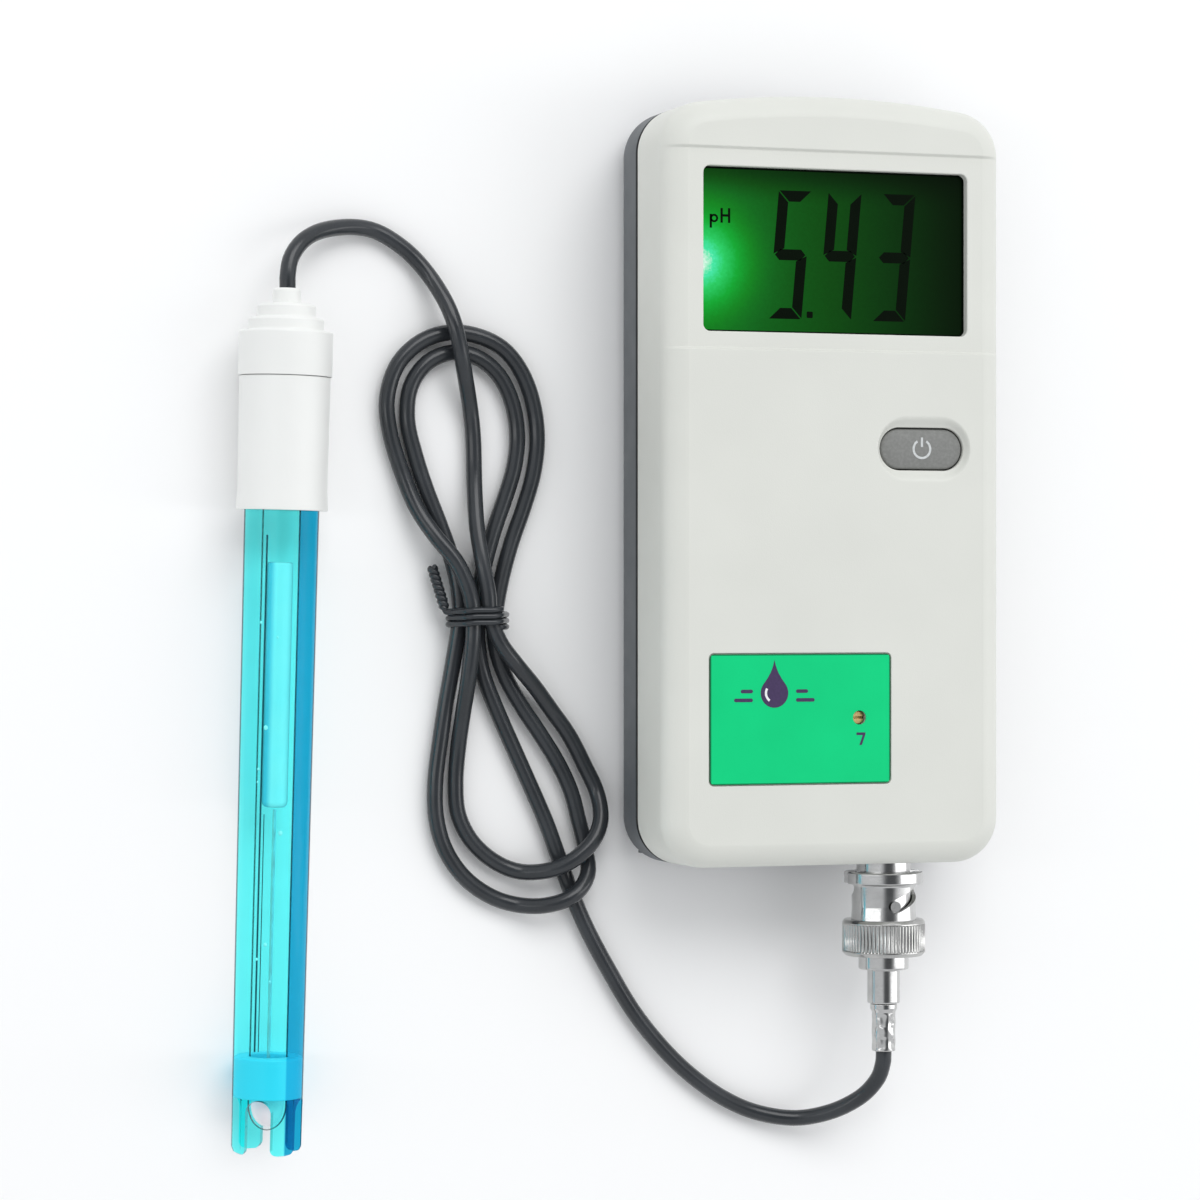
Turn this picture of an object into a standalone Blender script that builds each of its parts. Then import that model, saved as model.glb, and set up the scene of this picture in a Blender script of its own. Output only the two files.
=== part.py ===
"""A hand-held pH meter with its combined electrode, lying on a table.

The meter lies on its back. The origin is the centre of its back face, +X is the meter's right,
+Y its display end and +Z its front. Sizes are written in millimetres and turned into metres by MM.
"""

import math

import bmesh
import bpy
from mathutils import Matrix, Vector

MM = 0.001
GAP = 0.3          # air left between neighbouring pieces

# Case
CASE_W = 62.0
CASE_TOP = 66.0    # top end at the middle of its crown
CASE_LOW = -66.0
CASE_H = 27.0
SEAM_Z = 11.6      # back shell below, front shell above
CORNER_R = 8.0
CROWN_K = 0.0029   # the top end falls by CROWN_K * x * x
CROWN_TILT = 8.0   # degrees, where the crown meets the corner
WALL = 2.0
FRONT_R = 4.0      # rounding of the front edge
BACK_R = 5.0       # rounding of the back edge
STEP_DEPTH = 0.5   # the band round the display lies this far below the front face
BAND_Y = (22.2, 56.2)

# Display
DISPLAY = (0.0, 39.1)
DISPLAY_SIZE = (48.3, 28.0)

# Controls on the front
BUTTON = (15.9, 5.6)
BUTTON_SIZE = (15.1, 6.9)
DISH_SIZE = (17.5, 11.4)
BUTTON_TRAVEL = 1.0
LABEL = (-6.8, -40.65)
LABEL_SIZE = (32.8, 22.1)
TRIMMER = (3.95, -40.5)

# Battery room and its door
BATTERY_X = (-26.85, -0.35)
BATTERY_Y = (-57.6, -11.2)
BATTERY_Z = (2.9, 20.4)
DOOR_X = (-28.2, 2.5)
DOOR_TOP_Y = -8.0
DOOR_Z = 2.3

# Board
BOARD_Z = (13.0, 14.6)
BOARD_SCREWS = [(-23.0, 4.0), (23.0, 18.0), (22.0, -45.0)]
CASE_SCREWS = [(-24.6, 59.6), (24.6, 59.6), (25.0, -59.0), (-13.5, -61.6)]

# Connector: its axis runs out of the bottom end, distances v are measured from that end
JACK_X = 14.0
JACK_Z = 13.3
STUD_V = 7.8
STUD_R = 0.95
STUD_TOP_R = 5.6
SLOT_R = 1.25
SLOT_MIDDLE_R = 5.3
CAM_RISE = 3.2     # the plug backs out by this much while the nut turns
CAM_TURN = 80.0    # degrees

# Electrode: distances u are measured from the tips of its prongs
TIP = (-95.0, -113.4, 6.05)
NECK = (-91.8, 32.0, 8.05)
PRONG_GAP = 4.4
PRONG_TURN = -29.0   # degrees that the gaps are turned about the electrode's axis

CABLE_R = 1.4
CABLE_STEP = 8.6   # length of one straight piece of the cable's tube
CABLE_END_GAP = 0.45   # each piece stops this short, because neighbours meet at an angle
REST_Z = 1.5       # height of the cable's centre where it lies on the table
TIE_Y = -23.4
TIE_LENGTH = 2.4
TIE_ROOM = 0.6     # air between the strands and the tie
TIE_WIRE = 0.7
BUNDLE = [(-60.2, 2.8), (-57.05, 2.8), (-53.9, 2.8), (-55.5, 5.6), (-58.6, 5.6)]

CABLE_ROUTE = {
    "cable_electrode_lead": [
        (-91.75, 32.3, 8.05), (-91.7, 34.4, 8.0), (-91.0, 37.2, 7.5), (-89.0, 39.9, 6.4),
        (-86.0, 41.8, 4.8), (-82.0, 42.9, 3.1), (-78.0, 43.2, 2.0), (-74.6, 42.6, 1.5),
        (-71.2, 40.8, 1.5), (-68.0, 38.3, 1.5), (-65.2, 34.8, 2.3), (-63.2, 30.9, 4.0),
        (-61.9, 27.2, 5.1), (-60.8, 22.8, 5.2), (-59.6, 18.0, 4.0), (-58.2, 13.0, 2.1),
        (-57.5, 8.5, 1.5), (-57.3, 3.0, 1.5), (-57.4, -2.5, 2.4), (-57.5, -8.0, 4.1),
        (-56.9, -14.0, 5.5), (-56.0, -19.0, 5.8), (-55.5, -23.4, 5.6)],
    "cable_lower_loop_1": [
        (-55.5, -23.4, 5.6), (-53.8, -27.7, 5.7), (-50.6, -31.6, 5.0), (-46.9, -35.4, 3.3),
        (-43.4, -39.5, 1.7), (-40.2, -43.8, 1.5), (-37.4, -49.0, 1.5), (-35.2, -54.0, 2.1),
        (-35.2, -58.6, 4.2), (-37.2, -62.4, 5.3), (-41.0, -65.6, 5.3), (-45.0, -67.2, 4.1),
        (-49.6, -67.3, 1.9), (-54.2, -65.2, 1.5), (-58.0, -61.6, 1.5), (-60.2, -57.0, 1.5),
        (-60.6, -51.5, 1.5), (-60.2, -45.5, 1.9), (-59.7, -39.5, 3.2), (-59.2, -34.0, 4.6),
        (-58.7, -28.5, 5.4), (-58.6, -23.4, 5.6)],
    "cable_upper_loop_1": [
        (-58.6, -23.4, 5.6), (-59.3, -19.0, 5.7), (-61.4, -14.0, 5.2), (-64.9, -9.5, 4.2),
        (-67.9, -4.5, 2.6), (-70.2, 1.5, 1.6), (-72.2, 8.0, 1.5), (-72.8, 14.0, 1.5),
        (-71.0, 19.8, 1.5), (-67.0, 23.8, 1.5), (-62.0, 25.6, 1.5), (-56.8, 25.2, 1.5),
        (-52.0, 23.0, 1.5), (-48.6, 18.8, 1.5), (-46.6, 13.4, 1.5), (-45.9, 7.5, 1.5),
        (-46.6, 1.5, 1.5), (-48.4, -4.5, 1.5), (-50.6, -10.5, 1.6), (-52.6, -17.0, 2.2),
        (-53.9, -23.4, 2.8)],
    "cable_lower_loop_2": [
        (-53.9, -23.4, 2.8), (-53.6, -28.5, 2.3), (-51.7, -33.6, 1.6), (-48.7, -38.8, 1.5),
        (-45.4, -43.6, 1.5), (-42.2, -48.6, 1.5), (-39.8, -53.6, 1.5), (-38.4, -58.6, 1.5),
        (-37.2, -63.6, 1.5), (-37.4, -68.0, 3.7), (-40.6, -71.6, 5.2), (-45.4, -73.2, 4.1),
        (-50.2, -73.0, 1.8), (-55.0, -71.2, 1.5), (-59.4, -67.8, 1.5), (-62.6, -63.0, 1.5),
        (-64.1, -57.5, 1.5), (-64.2, -51.5, 1.5), (-63.4, -45.0, 1.5), (-62.4, -38.5, 1.6),
        (-61.2, -31.0, 2.2), (-60.2, -23.4, 2.8)],
    "cable_upper_loop_2": [
        (-60.2, -23.4, 2.8), (-60.4, -18.0, 2.3), (-61.6, -12.5, 1.6), (-63.6, -7.0, 1.5),
        (-65.8, -1.5, 1.5), (-67.8, 4.5, 1.5), (-69.2, 10.5, 1.5), (-68.6, 16.2, 1.5),
        (-65.6, 20.4, 1.5), (-61.2, 22.2, 1.5), (-56.6, 21.4, 1.5), (-52.8, 18.4, 1.5),
        (-50.4, 13.6, 1.5), (-49.5, 8.0, 1.5), (-50.1, 2.5, 1.5), (-51.8, -3.0, 1.5),
        (-54.0, -9.0, 1.7), (-56.0, -16.0, 2.2), (-57.05, -23.4, 2.8)],
    "cable_plug_lead": [
        (-57.05, -23.4, 2.8), (-56.9, -28.0, 2.4), (-55.8, -33.0, 1.7), (-53.4, -39.0, 1.5),
        (-50.4, -45.6, 1.5), (-47.2, -52.5, 1.5), (-44.3, -59.0, 1.5), (-41.9, -65.4, 1.5),
        (-39.6, -71.5, 1.5), (-36.9, -77.6, 1.5), (-33.3, -84.2, 1.5), (-28.4, -92.2, 1.5),
        (-23.2, -98.6, 1.5), (-18.0, -103.6, 1.5), (-12.0, -107.9, 1.5), (-5.7, -110.8, 1.7),
        (1.2, -112.0, 3.0), (7.0, -110.8, 5.7), (11.3, -108.0, 9.0), (13.4, -104.6, 11.8),
        (14.0, -101.6, 13.0), (14.0, -99.7, 13.3)],
}

for old in list(bpy.data.objects):
    bpy.data.objects.remove(old, do_unlink=True)

PARTS = bpy.data.collections.new("ph_meter")
CUTTERS = bpy.data.collections.new("cutters")
for collection in (PARTS, CUTTERS):
    bpy.context.scene.collection.children.link(collection)


def principled(name, colour, roughness, metallic=0.0, alpha=1.0):
    mat = bpy.data.materials.new(name)
    mat.use_nodes = True
    shader = mat.node_tree.nodes["Principled BSDF"]
    shader.inputs["Base Color"].default_value = (*colour, 1.0)
    shader.inputs["Roughness"].default_value = roughness
    shader.inputs["Metallic"].default_value = metallic
    shader.inputs["Alpha"].default_value = alpha
    return mat


LIGHT_PLASTIC = principled("light_plastic", (0.71, 0.72, 0.68), 0.45)
DARK_PLASTIC = principled("dark_plastic", (0.08, 0.09, 0.11), 0.5)
BUTTON_RUBBER = principled("button_rubber", (0.10, 0.11, 0.11), 0.6)
LABEL_FILM = principled("label_film", (0.005, 0.66, 0.22), 0.4)
DISPLAY_GLASS = principled("display_glass", (0.01, 0.12, 0.02), 0.1)
CLEAR_ACRYLIC = principled("clear_acrylic", (0.2, 0.9, 0.4), 0.1, alpha=0.6)
ELASTOMER = principled("elastomer", (0.7, 0.3, 0.3), 0.7)
BOARD_GREEN = principled("board_green", (0.02, 0.2, 0.07), 0.4)
CHIP_BLACK = principled("chip_black", (0.02, 0.02, 0.02), 0.4)
CAP_BLUE = principled("capacitor_blue", (0.02, 0.05, 0.25), 0.4)
TRIMMER_BLUE = principled("trimmer_blue", (0.03, 0.12, 0.45), 0.4)
BRASS = principled("brass", (0.75, 0.55, 0.25), 0.3, 1.0)
NICKEL = principled("nickel", (0.72, 0.71, 0.68), 0.22, 1.0)
STEEL = principled("steel", (0.6, 0.6, 0.6), 0.3, 1.0)
WHITE_INSULATOR = principled("white_insulator", (0.85, 0.85, 0.83), 0.4)
BATTERY_WRAP = principled("battery_wrap", (0.05, 0.05, 0.06), 0.35)
RED_WIRE = principled("red_wire", (0.6, 0.02, 0.02), 0.45)
BLACK_WIRE = principled("black_wire", (0.02, 0.02, 0.02), 0.45)
CABLE_PVC = principled("cable_pvc", (0.045, 0.05, 0.055), 0.45)
WHITE_CAP = principled("white_cap", (0.86, 0.87, 0.85), 0.35)
BLUE_CLEAR = principled("blue_clear", (0.1, 0.95, 1.0), 0.1, alpha=0.4)
CLEAR_GLASS = principled("clear_glass", (0.8, 0.97, 1.0), 0.05, alpha=0.4)
SILVER = principled("silver", (0.8, 0.8, 0.8), 0.3, 1.0)
SEAL_RUBBER = principled("seal_rubber", (0.03, 0.03, 0.03), 0.7)


# ---------------------------------------------------------------- building blocks

def add_mesh(name, bm, mat):
    """A new object holding the bmesh, whose vertices are in millimetres."""
    bmesh.ops.scale(bm, vec=(MM, MM, MM), verts=bm.verts)
    mesh = bpy.data.meshes.new(name)
    bm.to_mesh(mesh)
    bm.free()
    obj = bpy.data.objects.new(name, mesh)
    if mat:
        mesh.materials.append(mat)
    PARTS.objects.link(obj)
    return obj


def smooth(obj, degrees=35.0):
    obj.data.shade_smooth()
    obj.data.set_sharp_from_angle(angle=math.radians(degrees))
    return obj


def as_cutter(obj):
    PARTS.objects.unlink(obj)
    CUTTERS.objects.link(obj)
    obj.hide_render = True
    obj.display_type = "WIRE"
    return obj


def boolean(target, other, operation):
    mod = target.modifiers.new(other.name, "BOOLEAN")
    mod.operation = operation
    mod.object = as_cutter(other)
    return target


def cut(target, *cutters):
    for cutter in cutters:
        boolean(target, cutter, "DIFFERENCE")
    return target


def join(target, *others):
    for other in others:
        boolean(target, other, "UNION")
    return target


def box(name, x, y, z, mat=None, bevel=0.0):
    """A block between the given limits, with its edges rounded by bevel."""
    bm = bmesh.new()
    bmesh.ops.create_cube(bm, size=1.0)
    size = Vector((x[1] - x[0], y[1] - y[0], z[1] - z[0]))
    middle = Vector((x[0] + x[1], y[0] + y[1], z[0] + z[1])) / 2.0
    bmesh.ops.scale(bm, vec=size, verts=bm.verts)
    if bevel:
        bmesh.ops.bevel(bm, geom=bm.edges[:], offset=bevel, segments=2, profile=0.5,
                        affect="EDGES")
    bmesh.ops.translate(bm, vec=middle, verts=bm.verts)
    return add_mesh(name, bm, mat)


def cylinder(name, centre, r, z, mat=None, sides=24):
    """An upright round bar from z[0] to z[1]."""
    bm = bmesh.new()
    bmesh.ops.create_cone(bm, cap_ends=True, segments=sides, radius1=r, radius2=r,
                          depth=z[1] - z[0])
    bmesh.ops.translate(bm, vec=(*centre, (z[0] + z[1]) / 2.0), verts=bm.verts)
    return smooth(add_mesh(name, bm, mat))


def bar_between(name, start, end, r, mat=None, sides=12):
    """A round bar from one point to another."""
    along = end - start
    bm = bmesh.new()
    bmesh.ops.create_cone(bm, cap_ends=True, segments=sides, radius1=r, radius2=r,
                          depth=along.length)
    lean = along.to_track_quat("Z", "Y").to_matrix().to_4x4()
    bmesh.ops.transform(bm, matrix=Matrix.Translation((start + end) / 2.0) @ lean,
                        verts=bm.verts)
    return add_mesh(name, bm, mat)


def slab(name, outlines, z, mat=None, round_top=0.0, round_low=0.0, segments=3):
    """A flat outline, with any holes after it, made as thick as z says."""
    curve = bpy.data.curves.new(name, "CURVE")
    curve.dimensions = "2D"
    curve.fill_mode = "BOTH"
    curve.extrude = (z[1] - z[0]) / 2.0
    for outline in outlines:
        spline = curve.splines.new("POLY")
        spline.points.add(len(outline) - 1)
        for point, (x, y) in zip(spline.points, outline):
            point.co = (x, y, 0.0, 1.0)
        spline.use_cyclic_u = True
    guide = bpy.data.objects.new(name + "_guide", curve)
    PARTS.objects.link(guide)
    evaluated = guide.evaluated_get(bpy.context.evaluated_depsgraph_get())
    mesh = bpy.data.meshes.new_from_object(evaluated)
    bpy.data.objects.remove(guide)
    bm = bmesh.new()
    bm.from_mesh(mesh)
    bpy.data.meshes.remove(mesh)
    bmesh.ops.remove_doubles(bm, verts=bm.verts, dist=0.001)
    bmesh.ops.dissolve_limit(bm, angle_limit=math.radians(0.5), verts=bm.verts,
                             edges=bm.edges)
    bmesh.ops.translate(bm, vec=(0.0, 0.0, (z[0] + z[1]) / 2.0), verts=bm.verts)
    for height, radius in ((z[1], round_top), (z[0], round_low)):
        if radius:
            rim = [e for e in bm.edges if all(abs(v.co.z - height) < 0.001 for v in e.verts)]
            bmesh.ops.bevel(bm, geom=rim, offset=radius, segments=segments, profile=0.5,
                            affect="EDGES")
    bmesh.ops.recalc_face_normals(bm, faces=bm.faces)
    return smooth(add_mesh(name, bm, mat), 30.0)


def turned(name, profile, mat=None, steps=20, closed=False):
    """A turned piece about its own Z. The profile (r, z) runs from the top down its outer side."""
    bm = bmesh.new()
    verts = [bm.verts.new((r * MM, 0.0, z * MM)) for r, z in profile]
    for a, b in zip(verts, verts[1:]):
        bm.edges.new((a, b))
    if closed:
        bm.edges.new((verts[-1], verts[0]))
    mesh = bpy.data.meshes.new(name)
    bm.to_mesh(mesh)
    bm.free()
    obj = bpy.data.objects.new(name, mesh)
    if mat:
        mesh.materials.append(mat)
    PARTS.objects.link(obj)
    screw = obj.modifiers.new("turn", "SCREW")
    screw.axis = "Z"
    screw.steps = steps
    screw.render_steps = steps
    screw.use_merge_vertices = True
    screw.merge_threshold = 0.00001
    screw.use_smooth_shade = True
    return obj


def on_jack_axis(obj):
    """Stand a turned piece on the connector's axis, its own Z pointing out of the bottom end."""
    obj.rotation_euler = (math.radians(90.0), 0.0, 0.0)
    obj.location = (JACK_X * MM, CASE_LOW * MM, JACK_Z * MM)
    return obj


def on_electrode_axis(obj):
    """Lay a turned piece on the electrode's axis, its own Z pointing to the cable."""
    tip = Vector(TIP)
    obj.rotation_euler = (Vector(NECK) - tip).to_track_quat("Z", "Y").to_euler()
    obj.location = tip * MM
    return obj


def ring_profile(r_out, r_in, top, low):
    return [(r_out, top), (r_out, low), (r_in, low), (r_in, top)]


def bar_profile(r, top, low):
    return [(0.0, top), (r, top), (r, low), (0.0, low)]


def tube(name, points, radius, mat):
    """A round cord or wire with filled ends, through points in millimetres."""
    curve = bpy.data.curves.new(name, "CURVE")
    curve.dimensions = "3D"
    curve.bevel_depth = radius * MM
    curve.bevel_resolution = 2
    curve.use_fill_caps = True
    spline = curve.splines.new("POLY")
    spline.points.add(len(points) - 1)
    for point, co in zip(spline.points, points):
        point.co = (co[0] * MM, co[1] * MM, co[2] * MM, 1.0)
    obj = bpy.data.objects.new(name, curve)
    curve.materials.append(mat)
    PARTS.objects.link(obj)
    return obj


def smooth_path(route, step):
    """Points every step or so along the smooth curve through the route's own points."""
    knots = [Vector(p) for p in route]
    knots = [2 * knots[0] - knots[1]] + knots + [2 * knots[-1] - knots[-2]]
    fine = []
    for a, b, c, d in zip(knots, knots[1:], knots[2:], knots[3:]):
        for i in range(12):
            t = i / 12.0
            fine.append(0.5 * (2 * b + (c - a) * t + (2 * a - 5 * b + 4 * c - d) * t * t
                               + (3 * b - a - 3 * c + d) * t * t * t))
    fine.append(knots[-2])
    for p in fine:
        p.z = max(p.z, REST_Z)
    lengths = [0.0]
    for a, b in zip(fine, fine[1:]):
        lengths.append(lengths[-1] + (b - a).length)
    count = max(1, round(lengths[-1] / step))
    path = []
    i = 0
    for n in range(count + 1):
        want = lengths[-1] * n / count
        while i < len(fine) - 2 and lengths[i + 1] < want:
            i += 1
        share = (want - lengths[i]) / (lengths[i + 1] - lengths[i])
        path.append(fine[i].lerp(fine[i + 1], min(share, 1.0)))
    return path


def arc(cx, cy, r, start, end, count):
    """Points on a circle between two angles in degrees, both ends included."""
    angles = [math.radians(start + (end - start) * i / count) for i in range(count + 1)]
    return [(cx + r * math.cos(a), cy + r * math.sin(a)) for a in angles]


def rounded_rectangle(centre, size, radius, count=3):
    cx, cy = centre
    dx = size[0] / 2.0 - radius
    dy = size[1] / 2.0 - radius
    points = []
    for sx, sy, start in ((1, 1, 0), (-1, 1, 90), (-1, -1, 180), (1, -1, 270)):
        points += arc(cx + sx * dx, cy + sy * dy, radius, start, start + 90, count)
    return points


def pill(centre, size):
    """A slot shape, as long as size[0] and as wide as size[1]."""
    cx, cy = centre
    r = size[1] / 2.0
    dx = size[0] / 2.0 - r
    return arc(cx + dx, cy, r, -90, 90, 8) + arc(cx - dx, cy, r, 90, 270, 8)


def case_outline():
    """The case seen from the front: round corners, a flat bottom end and a crowned top end."""
    cx = CASE_W / 2.0 - CORNER_R
    end_angle = 90.0 - CROWN_TILT
    meet_x = cx + CORNER_R * math.cos(math.radians(end_angle))
    meet_y = CASE_TOP - CROWN_K * meet_x ** 2
    cy = meet_y - CORNER_R * math.sin(math.radians(end_angle))
    right = arc(cx, cy, CORNER_R, 0.0, end_angle, 5)
    crown = [(x, CASE_TOP - CROWN_K * x * x) for x in (16.0, 8.0, 0.0, -8.0, -16.0)]
    left = [(-x, y) for x, y in reversed(right)]
    low_y = CASE_LOW + CORNER_R
    low = arc(-cx, low_y, CORNER_R, 180.0, 270.0, 6) + arc(cx, low_y, CORNER_R, 270.0, 360.0, 6)
    return right + crown + left + low


def shell(name, z, front, mat):
    """Half of the case: a closed form, opened at the seam and given a wall."""
    radius = FRONT_R if front else BACK_R
    form = slab(name, [case_outline()], z, mat, round_top=radius if front else 0.0,
                round_low=0.0 if front else radius, segments=4)
    seam = z[0] if front else z[1]
    bm = bmesh.new()
    bm.from_mesh(form.data)
    rim = [f for f in bm.faces if all(abs(v.co.z - seam * MM) < 0.00001 for v in f.verts)]
    bmesh.ops.delete(bm, geom=rim, context="FACES")
    bm.to_mesh(form.data)
    bm.free()
    wall = form.modifiers.new("wall", "SOLIDIFY")
    wall.thickness = WALL * MM
    wall.offset = -1.0
    wall.use_even_offset = True
    return form


# ---------------------------------------------------------------- case

def make_front_shell():
    front = shell("front_shell", (SEAM_Z + GAP / 2, CASE_H), True, LIGHT_PLASTIC)
    top = CASE_H + 1.0
    inside = CASE_H - WALL
    for number, centre in enumerate(CASE_SCREWS):
        join(front, cylinder(f"boss_{number}", centre, 2.6, (SEAM_Z + 0.6, inside + 0.5)))
        cut(front, cylinder(f"pilot_{number}", centre, 1.45, (SEAM_Z, 22.0), sides=16))
    cut(front,
        box("band_cut", (-40.0, 40.0), BAND_Y, (CASE_H - STEP_DEPTH, top)),
        slab("display_cut", [rounded_rectangle(DISPLAY, DISPLAY_SIZE, 0.8)], (20.0, top)),
        slab("dish_cut", [pill(BUTTON, DISH_SIZE)], (25.9, top)),
        slab("button_cut", [pill(BUTTON, (BUTTON_SIZE[0] + 0.6, BUTTON_SIZE[1] + 0.6))],
             (20.0, top)),
        slab("label_cut", [rounded_rectangle(LABEL, (LABEL_SIZE[0] + 0.4, LABEL_SIZE[1] + 0.4),
                                             0.9)], (CASE_H - 0.5, top)),
        cylinder("trimmer_cut", TRIMMER, 1.35, (20.0, top), sides=16),
        on_jack_axis(turned("jack_cut_front", bar_profile(5.0, 4.0, -2.15))))
    return front


def make_back_shell():
    back = shell("back_shell", (0.0, SEAM_Z - GAP / 2), False, DARK_PLASTIC)
    for number, centre in enumerate(CASE_SCREWS[:3]):
        join(back, cylinder(f"post_{number}", centre, 3.0, (1.0, SEAM_Z - 0.2)))
        cut(back,
            cylinder(f"head_room_{number}", centre, 2.6, (-1.0, 3.2)),
            cylinder(f"screw_way_{number}", centre, 1.6, (-1.0, SEAM_Z + 1.0), sides=16))
    for number, centre in enumerate(BOARD_SCREWS):
        post_top = BOARD_Z[0] - GAP
        join(back, cylinder(f"board_post_{number}", centre, 2.4, (1.0, post_top)))
        cut(back, cylinder(f"board_pilot_{number}", centre, 1.15, (6.0, 14.0), sides=16))
    # The roof over the door carries the hidden screw's post and the battery room's walls.
    x = (DOOR_X[0] - 0.5, DOOR_X[1] + 2.0)
    y = (CASE_LOW + WALL - 0.5, DOOR_TOP_Y + 2.0)
    join(back,
         box("door_roof", (x[0] + 1.0, x[1]), y, (1.5, DOOR_Z + GAP + 1.0)),
         box("room_wall", (0.0, 1.2), (y[0], BATTERY_Y[1]), (2.0, 11.0)),
         cylinder("hidden_post", CASE_SCREWS[3], 2.6, (2.0, SEAM_Z - 0.2)))
    cut(back,
        box("door_way", (DOOR_X[0] - GAP, DOOR_X[1] + GAP),
            (CASE_LOW - 2.0, DOOR_TOP_Y + GAP), (-1.0, DOOR_Z + GAP)),
        box("battery_way", (BATTERY_X[0] - 0.3, BATTERY_X[1] + 0.3),
            (BATTERY_Y[0] - 0.4, BATTERY_Y[1] + 2.9), (1.0, 8.0)),
        cylinder("hidden_head_room", CASE_SCREWS[3], 2.1, (1.0, 4.6)),
        cylinder("hidden_way", CASE_SCREWS[3], 1.6, (1.0, SEAM_Z + 1.0), sides=16),
        on_jack_axis(turned("jack_cut_back", bar_profile(5.0, 4.0, -2.15))))
    return back


def make_battery_door():
    """The door is cut from the case's own outer form, so that it wraps the bottom edge."""
    door = slab("battery_door", [case_outline()], (0.0, 8.0), DARK_PLASTIC,
                round_low=BACK_R, segments=4)
    keep = box("door_limits", DOOR_X, (CASE_LOW - 2.0, DOOR_TOP_Y), (-1.0, DOOR_Z))
    boolean(door, keep, "INTERSECT")
    for number in range(4):
        y = -20.0 + 2.4 * number
        cut(door, box(f"grip_{number}", (-20.0, -6.0), (y, y + 1.0), (-1.0, 0.5)))
    return door


def make_screw(name, centre, head_z, length, head_r, shank_r):
    """A cross head screw pointing up from head_z, its head below."""
    profile = [(0.0, head_z + 1.4 + length), (shank_r, head_z + 1.0 + length),
               (shank_r, head_z + 1.4), (head_r, head_z + 1.4), (head_r, head_z + 0.5),
               (head_r * 0.6, head_z), (0.0, head_z)]
    screw = turned(name, profile, STEEL, steps=16)
    screw.location = (centre[0] * MM, centre[1] * MM, 0.0)
    slots = []
    for turn, (dx, dy) in enumerate(((1.2, 0.3), (0.3, 1.2))):
        slots.append(box(f"{name}_slot_{turn}", (centre[0] - dx, centre[0] + dx),
                         (centre[1] - dy, centre[1] + dy), (head_z - 1.0, head_z + 0.7)))
    return cut(screw, *slots)


def make_case_screws():
    for number, centre in enumerate(CASE_SCREWS):
        hidden = number == 3
        head_z = 2.9 if hidden else 1.2
        head_r = 1.9 if hidden else 2.3
        make_screw(f"case_screw_{number + 1}", centre, head_z, 21.0 - head_z - 1.4, head_r, 1.25)


# ---------------------------------------------------------------- display and board

def make_display():
    x, y = DISPLAY
    slab("lcd_glass", [rounded_rectangle(DISPLAY, (52.0, 32.0), 0.4, 1)], (22.5, 24.7),
         DISPLAY_GLASS)
    box("lcd_light_guide", (x - 25.0, x + 25.5), (y - 15.0, y + 15.5), (19.6, 22.2),
        CLEAR_ACRYLIC)
    box("backlight_led", (x - 27.0, x - 25.3), (y - 4.0, y + 4.0), (19.8, 21.8),
        LABEL_FILM)
    holder = slab("lcd_holder", [rounded_rectangle((x, y), (56.0, 35.2), 1.0, 2)],
                  (18.9, 24.5), WHITE_INSULATOR)
    cut(holder,
        box("holder_room", (x - 26.3, x + 26.3), (y - 16.3, y + 16.3), (19.3, 26.0)),
        box("led_room", (x - 27.3, x - 25.0), (y - 4.3, y + 4.3), (19.3, 26.0)),
        box("strip_way", (x - 23.3, x + 23.3), (y - 16.3, y - 15.05), (17.0, 26.0)),
        box("holder_floor_way", (x - 22.0, x + 22.0), (y - 12.0, y + 12.0), (17.0, 26.0)))
    box("zebra_strip", (x - 23.0, x + 23.0), (y - 16.2, y - 15.3), (BOARD_Z[1] + GAP, 22.2),
        ELASTOMER)


def make_board():
    right = 26.4
    top = 56.6
    outline = [(-26.4, -3.4), (1.9, -3.4), (1.9, -50.0), (right, -50.0), (right, top),
               (-26.4, top)]
    board = slab("main_board", [outline], BOARD_Z, BOARD_GREEN)
    on_board = BOARD_Z[1] + GAP
    for number, centre in enumerate(BOARD_SCREWS):
        cut(board, cylinder(f"board_hole_{number}", centre, 1.4, (10.0, 17.0), sides=16))
        profile = [(0.0, on_board + 1.5), (1.2, on_board + 1.5), (2.2, on_board + 0.8),
                   (2.2, on_board), (1.0, on_board), (1.0, 7.4), (0.0, 7.0)]
        screw = turned(f"board_screw_{number + 1}", profile, STEEL, steps=12)
        screw.location = (centre[0] * MM, centre[1] * MM, 0.0)
    box("converter_chip", (-19.0, 19.0), (36.0, 49.8), (on_board, 18.4), CHIP_BLACK, 0.2)
    box("input_amplifier", (8.5, 17.9), (-26.0, -19.6), (on_board, 18.3), CHIP_BLACK, 0.2)
    reference = cylinder("voltage_reference", (22.5, -20.0), 2.3, (on_board, 19.6), CHIP_BLACK,
                         sides=16)
    cut(reference, box("reference_flat", (23.8, 26.0), (-24.0, -16.0), (10.0, 22.0)))
    turned("smoothing_capacitor", [(0.0, 21.9), (2.8, 21.9), (3.1, 21.5), (3.1, 15.6),
                                   (2.8, 15.3), (3.1, 15.0), (0.0, 15.0)],
           CAP_BLUE).location = (21.5 * MM, -9.0 * MM, 0.0)
    box("film_capacitor", (6.0, 13.2), (-12.5, -9.9), (on_board, 21.4), BRASS, 0.3)
    box("power_switch", (BUTTON[0] - 4.0, BUTTON[0] + 4.0), (BUTTON[1] - 4.0, BUTTON[1] + 4.0),
        (on_board, 19.9), CHIP_BLACK, 0.3)


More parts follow.
